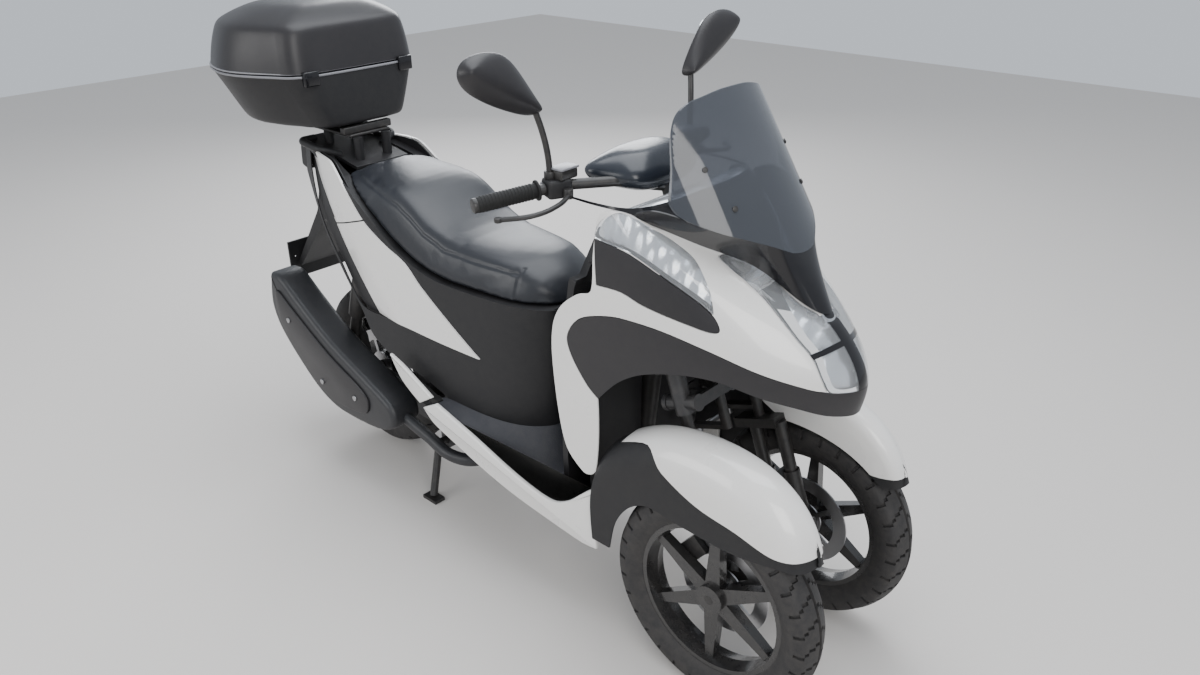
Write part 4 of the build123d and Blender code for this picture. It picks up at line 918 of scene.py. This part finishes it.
# Floor: white side strips in two parts with a dark seam between them, and a ribbed rubber mat whose rear rises
# against the seat's base.

STRIP_SIDE = ((-300, 392), (-300, 392), (-318, 390), (-352, 360), (-387, 328), (-426, 306), (-458, 301), (-514, 308),
              (-593, 328), (-711, 366), (-850, 406), (-850, 406), (-902, 377), (-902, 377), (-862, 344), (-760, 310),
              (-669, 282), (-572, 260), (-459, 244), (-345, 232), (-300, 236), (-300, 236))
REAR_STRIP_SIDE = ((-870, 414), (-870, 414), (-979, 468), (-1032, 486), (-1032, 486), (-990, 424), (-922, 380),
                   (-922, 380))
STRIP_Y, STRIP_T = 226.0, 13.0
strips = []
for side in (-1, 1):
    outer = side * (STRIP_Y + STRIP_T)
    strips.append(bevelled(curved(STRIP_SIDE), side * STRIP_Y, outer, 4))
    strips.append(bevelled(curved(REAR_STRIP_SIDE), side * (STRIP_Y - 4), outer - side * 6, 3))
place_mesh("side_strips", merged(*strips), white_paint, "chassis", ("floor_strips",))

MAT_FOOT = ((-868, 188, 402), (-760, 183, 396), (-640, 164, 394), (-576, 120, 396), (-552, 92, 400), (-545, 50, 402),
            (-545, 0, 402))
MAT_EDGE = ((-862, 226, 402), (-760, 226, 378), (-640, 224, 340), (-545, 208, 306), (-482, 132, 297), (-472, 60, 297),
            (-470, 0, 297))
# shares of the way from the mat's foot at the seat to its edge, and how steeply it falls on the way
MAT_SHARES, MAT_FALL = (0.0, 0.3, 0.6, 0.85, 1.0), 1.6
mat_rubber = finish_material("mat_rubber", (0.022, 0.024, 0.032), 0.55, 500.0, 0.0008, dust=0.10)
mat_loops = []
for share in MAT_SHARES:
    row = [(fx + (ex - fx) * share, fy + (ey - fy) * share, ez + (fz - ez) * (1 - share) ** MAT_FALL)
           for (fx, fy, fz), (ex, ey, ez) in zip(MAT_FOOT, MAT_EDGE)]
    mat_loops.append(both_sides(row[::-1]))
mat = skin("mat", mat_loops, 2, 3.0)
place_mesh("mat_rise", mat.data, mat_rubber, "chassis", sharp=50)
discard(mat)
RIB_WIDTH, RIB_PITCH = 5, 14
ribs = [block((x, -200, 293), (x + RIB_WIDTH, 200, 297.5), 1, 1) for x in range(-460, -352, RIB_PITCH)]
place_mesh("mat_ribs", merged(*ribs), mat_rubber, "chassis", sharp=35)
handle_rubber = finish_material("handle_rubber", (0.010, 0.010, 0.010), 0.6, 800.0, 0.0003, dust=0.02, specular=0.3)
dress(handle_rubber, "pillion_pegs")

# Mirrors: a hooded shell with a ridge across its back, a silvered glass and a bent steel stalk, screwed to the
# lever brackets and turning with the handlebar.

MIRROR_VIEW = ((226, 1208), (250, 1201), (300, 1218), (360, 1244), (412, 1276), (424, 1304), (414, 1326),
               (380, 1338), (330, 1336), (296, 1318), (264, 1276), (238, 1236))
MIRROR_RIDGE = (Vector((244, 1222)), Vector((404, 1312)))
MIRROR_MIDDLE, GLASS_SHARE = Vector((330, 1272)), 0.86
MIRROR_BACK, MIRROR_FRONT = -458.0, -420.0
STALK, STALK_R = ((-424, 226, 1074), (-424, 229, 1120), (-430, 236, 1170), (-440, 246, 1216)), 6.5
# share of the way to the ridge, station between the back and the front
MIRROR_STEPS = ((0.10, 0.0), (0.0, 0.10), (0.0, 0.35), (0.22, 0.62), (0.52, 0.84), (0.86, 0.97))
mirror_glass = finish_material("mirror_glass", (0.75, 0.78, 0.80), 0.04, 60.0, 0.0, dust=0.0, unevenness=0.02,
                               metallic=1.0)
shells, stalks, glasses = [], [], []
for side in (-1, 1):
    loops = []
    for share, depth in MIRROR_STEPS:
        x = MIRROR_BACK + (MIRROR_FRONT - MIRROR_BACK) * depth
        loop = []
        for point in MIRROR_VIEW:
            place = Vector(point)
            span = MIRROR_RIDGE[1] - MIRROR_RIDGE[0]
            along = min(1.0, max(0.0, (place - MIRROR_RIDGE[0]).dot(span) / span.length_squared))
            place = place.lerp(MIRROR_RIDGE[0] + span * along, share)
            loop.append(at(x, side * place.x, place.y))
        loops.append(loop)
    hood = skin("hood", loops, 2, 0.0, True, (0, -1))
    shells.append(opened(hood))
    discard(hood)
    view = [MIRROR_MIDDLE + (Vector(point) - MIRROR_MIDDLE) * GLASS_SHARE for point in MIRROR_VIEW]
    glasses.append(slab([at(MIRROR_BACK - 1.0, side * point.x, point.y) for point in curved(view, 3)], (0.002, 0, 0)))
    stalks.append(tube([(x, side * y, z) for x, y, z in STALK], STALK_R, 12))
    stalks.append(disc((STALK[0][0], side * STALK[0][1], 1086), (0, 0, 1), 12, 18, 20, 2))
place_mesh("mirror_hoods", merged(*shells), graphite, "handlebar", ("mirrors",), sharp=50)
place_mesh("mirror_stalks", merged(*stalks), stove_black, "handlebar")
place_mesh("mirror_panes", merged(*glasses), mirror_glass, "handlebar", sharp=30)

# Screen fixings: a domed washer and a small screw at each of the pane's four holes, set square on the pane.

WASHER_R, SCREW_R, FIXING_T = 5.5, 3, 3
fixings = []
for y, z in SCREWS:
    for side in (-1, 1):
        x = screen_x(y, z) + FIXING_T / 2
        normal = (0.85, side * y / SCREEN_R, 0.35)
        fixings.append(disc((x, side * y, z), normal, WASHER_R, FIXING_T, 20, 0.6))
        fixings.append(disc((x + FIXING_T / 2, side * y, z), normal, SCREW_R, FIXING_T, 6))
place_mesh("screen_screws", merged(*fixings), stove_black, "chassis", sharp=30)

# Handlebar: a moulded cover over its middle, ribbed rubber grips with end weights, a switch block with its
# buttons and a brake reservoir on each side, and forged levers pivoted below.

COVER_ROWS = (
    # height, front and rear station, half width at the front and the rear
    (1032, -318, -392, 52, 60), (1040, -300, -416, 84, 98), (1056, -289, -434, 108, 136),
    (1074, -290, -442, 112, 150), (1090, -300, -436, 104, 138), (1108, -318, -416, 84, 84),
    (1116, -334, -400, 58, 56))
cover_loops = []
for z, front, rear, y_front, y_rear in COVER_ROWS:
    middle = (front + rear) / 2
    half = ((front, 0), (front, y_front * 0.6), (front - 16, y_front), (middle, y_front * 1.08), (rear + 16, y_rear),
            (rear, y_rear * 0.6), (rear, 0))
    cover_loops.append(ring([(x, y, z) for x, y in half]))
cover = skin("cover", cover_loops, 2, 0.0, True, (0, -1))
bar_plastic = finish_material("bar_plastic", (0.016, 0.020, 0.028), 0.24, 900.0, 0.00005, dust=0.03)
place_mesh("bar_hood", cover.data, bar_plastic, "handlebar", ("bar_cover",), sharp=60)
discard(cover)

GRIP_IN, GRIP_OUT = Vector((-434, 248, 1059)), Vector((-486, 372, 1046))
# radii of the grip, its ribs, its inner flange and the weight at its end
GRIP_R, RIB_R, FLANGE_R, WEIGHT_R, RIBS = 15.7, 16.6, 21, 15, 16
SWITCH_LOW, SWITCH_HIGH, SWITCH_TURN = (-437, 190, 1042), (-393, 242, 1080), radians(23)
BUTTON_FACING = (-1, 0.4, 0)
LEVER = ((-380, 218, 1052), (-366, 262, 1046), (-374, 318, 1038), (-418, 370, 1032))
LEVER_R, LEVER_TIP, LEVER_PIVOT = 5.2, (-420, 372, 1032), (-384, 216, 1054)
switch_pivot = at(-415, 216, 1062)
grip_parts, end_parts, switch_parts, button_parts, lever_parts = [], [], [], [], []
for side in (-1, 1):
    inner, outer = (Vector((p.x, side * p.y, p.z)) for p in (GRIP_IN, GRIP_OUT))
    along = outer - inner
    grip_parts.append(disc((inner + outer) / 2, along, GRIP_R, along.length - 10, 24, 2))
    for rib in range(RIBS):
        grip_parts.append(disc(inner + along * (0.13 + 0.76 * rib / (RIBS - 1)), along, RIB_R, 3.6, 24, 0.8))
    grip_parts.append(disc(inner + along * 0.03, along, FLANGE_R, 5, 24, 1.5))
    end_parts.append(disc(outer - along * 0.01, along, WEIGHT_R, 12, 24, 3))
    body = block(SWITCH_LOW, SWITCH_HIGH, 7)
    turn = Matrix.Translation(switch_pivot) @ Matrix.Rotation(SWITCH_TURN, 4, "Z")
    bmesh.ops.transform(body, matrix=turn @ Matrix.Translation(-switch_pivot), verts=body.verts)
    buttons = [disc((-440, 200 + 16 * k, 1066), BUTTON_FACING, 5, 7, 16, 1) for k in range(3)]
    buttons.append(disc((-438, 222, 1050), BUTTON_FACING, 7, 8, 16, 1))
    for part in (body, *buttons):
        if side < 0:
            bmesh.ops.mirror(part, geom=part.verts[:] + part.edges[:] + part.faces[:], axis="Y", merge_dist=-1)
            bmesh.ops.delete(part, geom=[vert for vert in part.verts if vert.co.y > 0], context="VERTS")
            bmesh.ops.recalc_face_normals(part, faces=part.faces)
    switch_parts.append(body)
    button_parts.extend(buttons)
    lever_parts.append(tube([(x, side * y, z) for x, y, z in LEVER], LEVER_R, 12))
    for (x, y, z), radius, height in ((LEVER_TIP, 8, 10), (LEVER_PIVOT, 10, 20)):
        lever_parts.append(disc((x, side * y, z), (0, 0, 1), radius, height, 16, 2))
reservoirs = [block((-424, side * 178, 1078), (-392, side * 226, 1098), 4) for side in (-1, 1)]
reservoir_lids = [block((-426, side * 176, 1098), (-390, side * 228, 1103), 2) for side in (-1, 1)]
place_mesh("brake_reservoirs", merged(*reservoirs), stove_black, "handlebar", sharp=30)
place_mesh("reservoir_lids", merged(*reservoir_lids), rim_grey, "handlebar", sharp=30)
place_mesh("rubber_grips", merged(*grip_parts), handle_rubber, "handlebar", ("grips",), sharp=30)
place_mesh("bar_ends", merged(*end_parts), stove_black, "handlebar", sharp=30)
place_mesh("switch_blocks", merged(*switch_parts), black_plastic, "handlebar", replaced=("switches",), sharp=30)
place_mesh("switch_buttons", merged(*button_parts), rim_grey, "handlebar", sharp=30)
place_mesh("forged_levers", merged(*lever_parts), stove_black, "handlebar", ("levers",), sharp=30)

# Rack under the case: a pressed steel plate with a lug at each corner and its bolts, on two short posts.

RACK_TOP, CASE_FLOOR = 980, 999.6
rack_parts = [block((-1345, -64, RACK_TOP - 8), (-1640, 64, RACK_TOP), 3),
              block((-1352, -78, RACK_TOP), (-1372, 78, CASE_FLOOR), 3),
              block((-1600, -88, RACK_TOP), (-1622, 88, CASE_FLOOR), 3),
              block((-1430, -40, RACK_TOP), (-1540, 40, RACK_TOP + 12), 4)]
rack_bolts = [disc((x, y, RACK_TOP + 4), (0, 0, 1), 9, 8, 6) for x in (-1390, -1580) for y in (-46, 46)]
place_mesh("rack_plate", merged(*rack_parts), stove_black, "chassis", ("case_rack",), sharp=30)
place_mesh("rack_bolts", merged(*rack_bolts), disc_steel, "chassis", sharp=30)
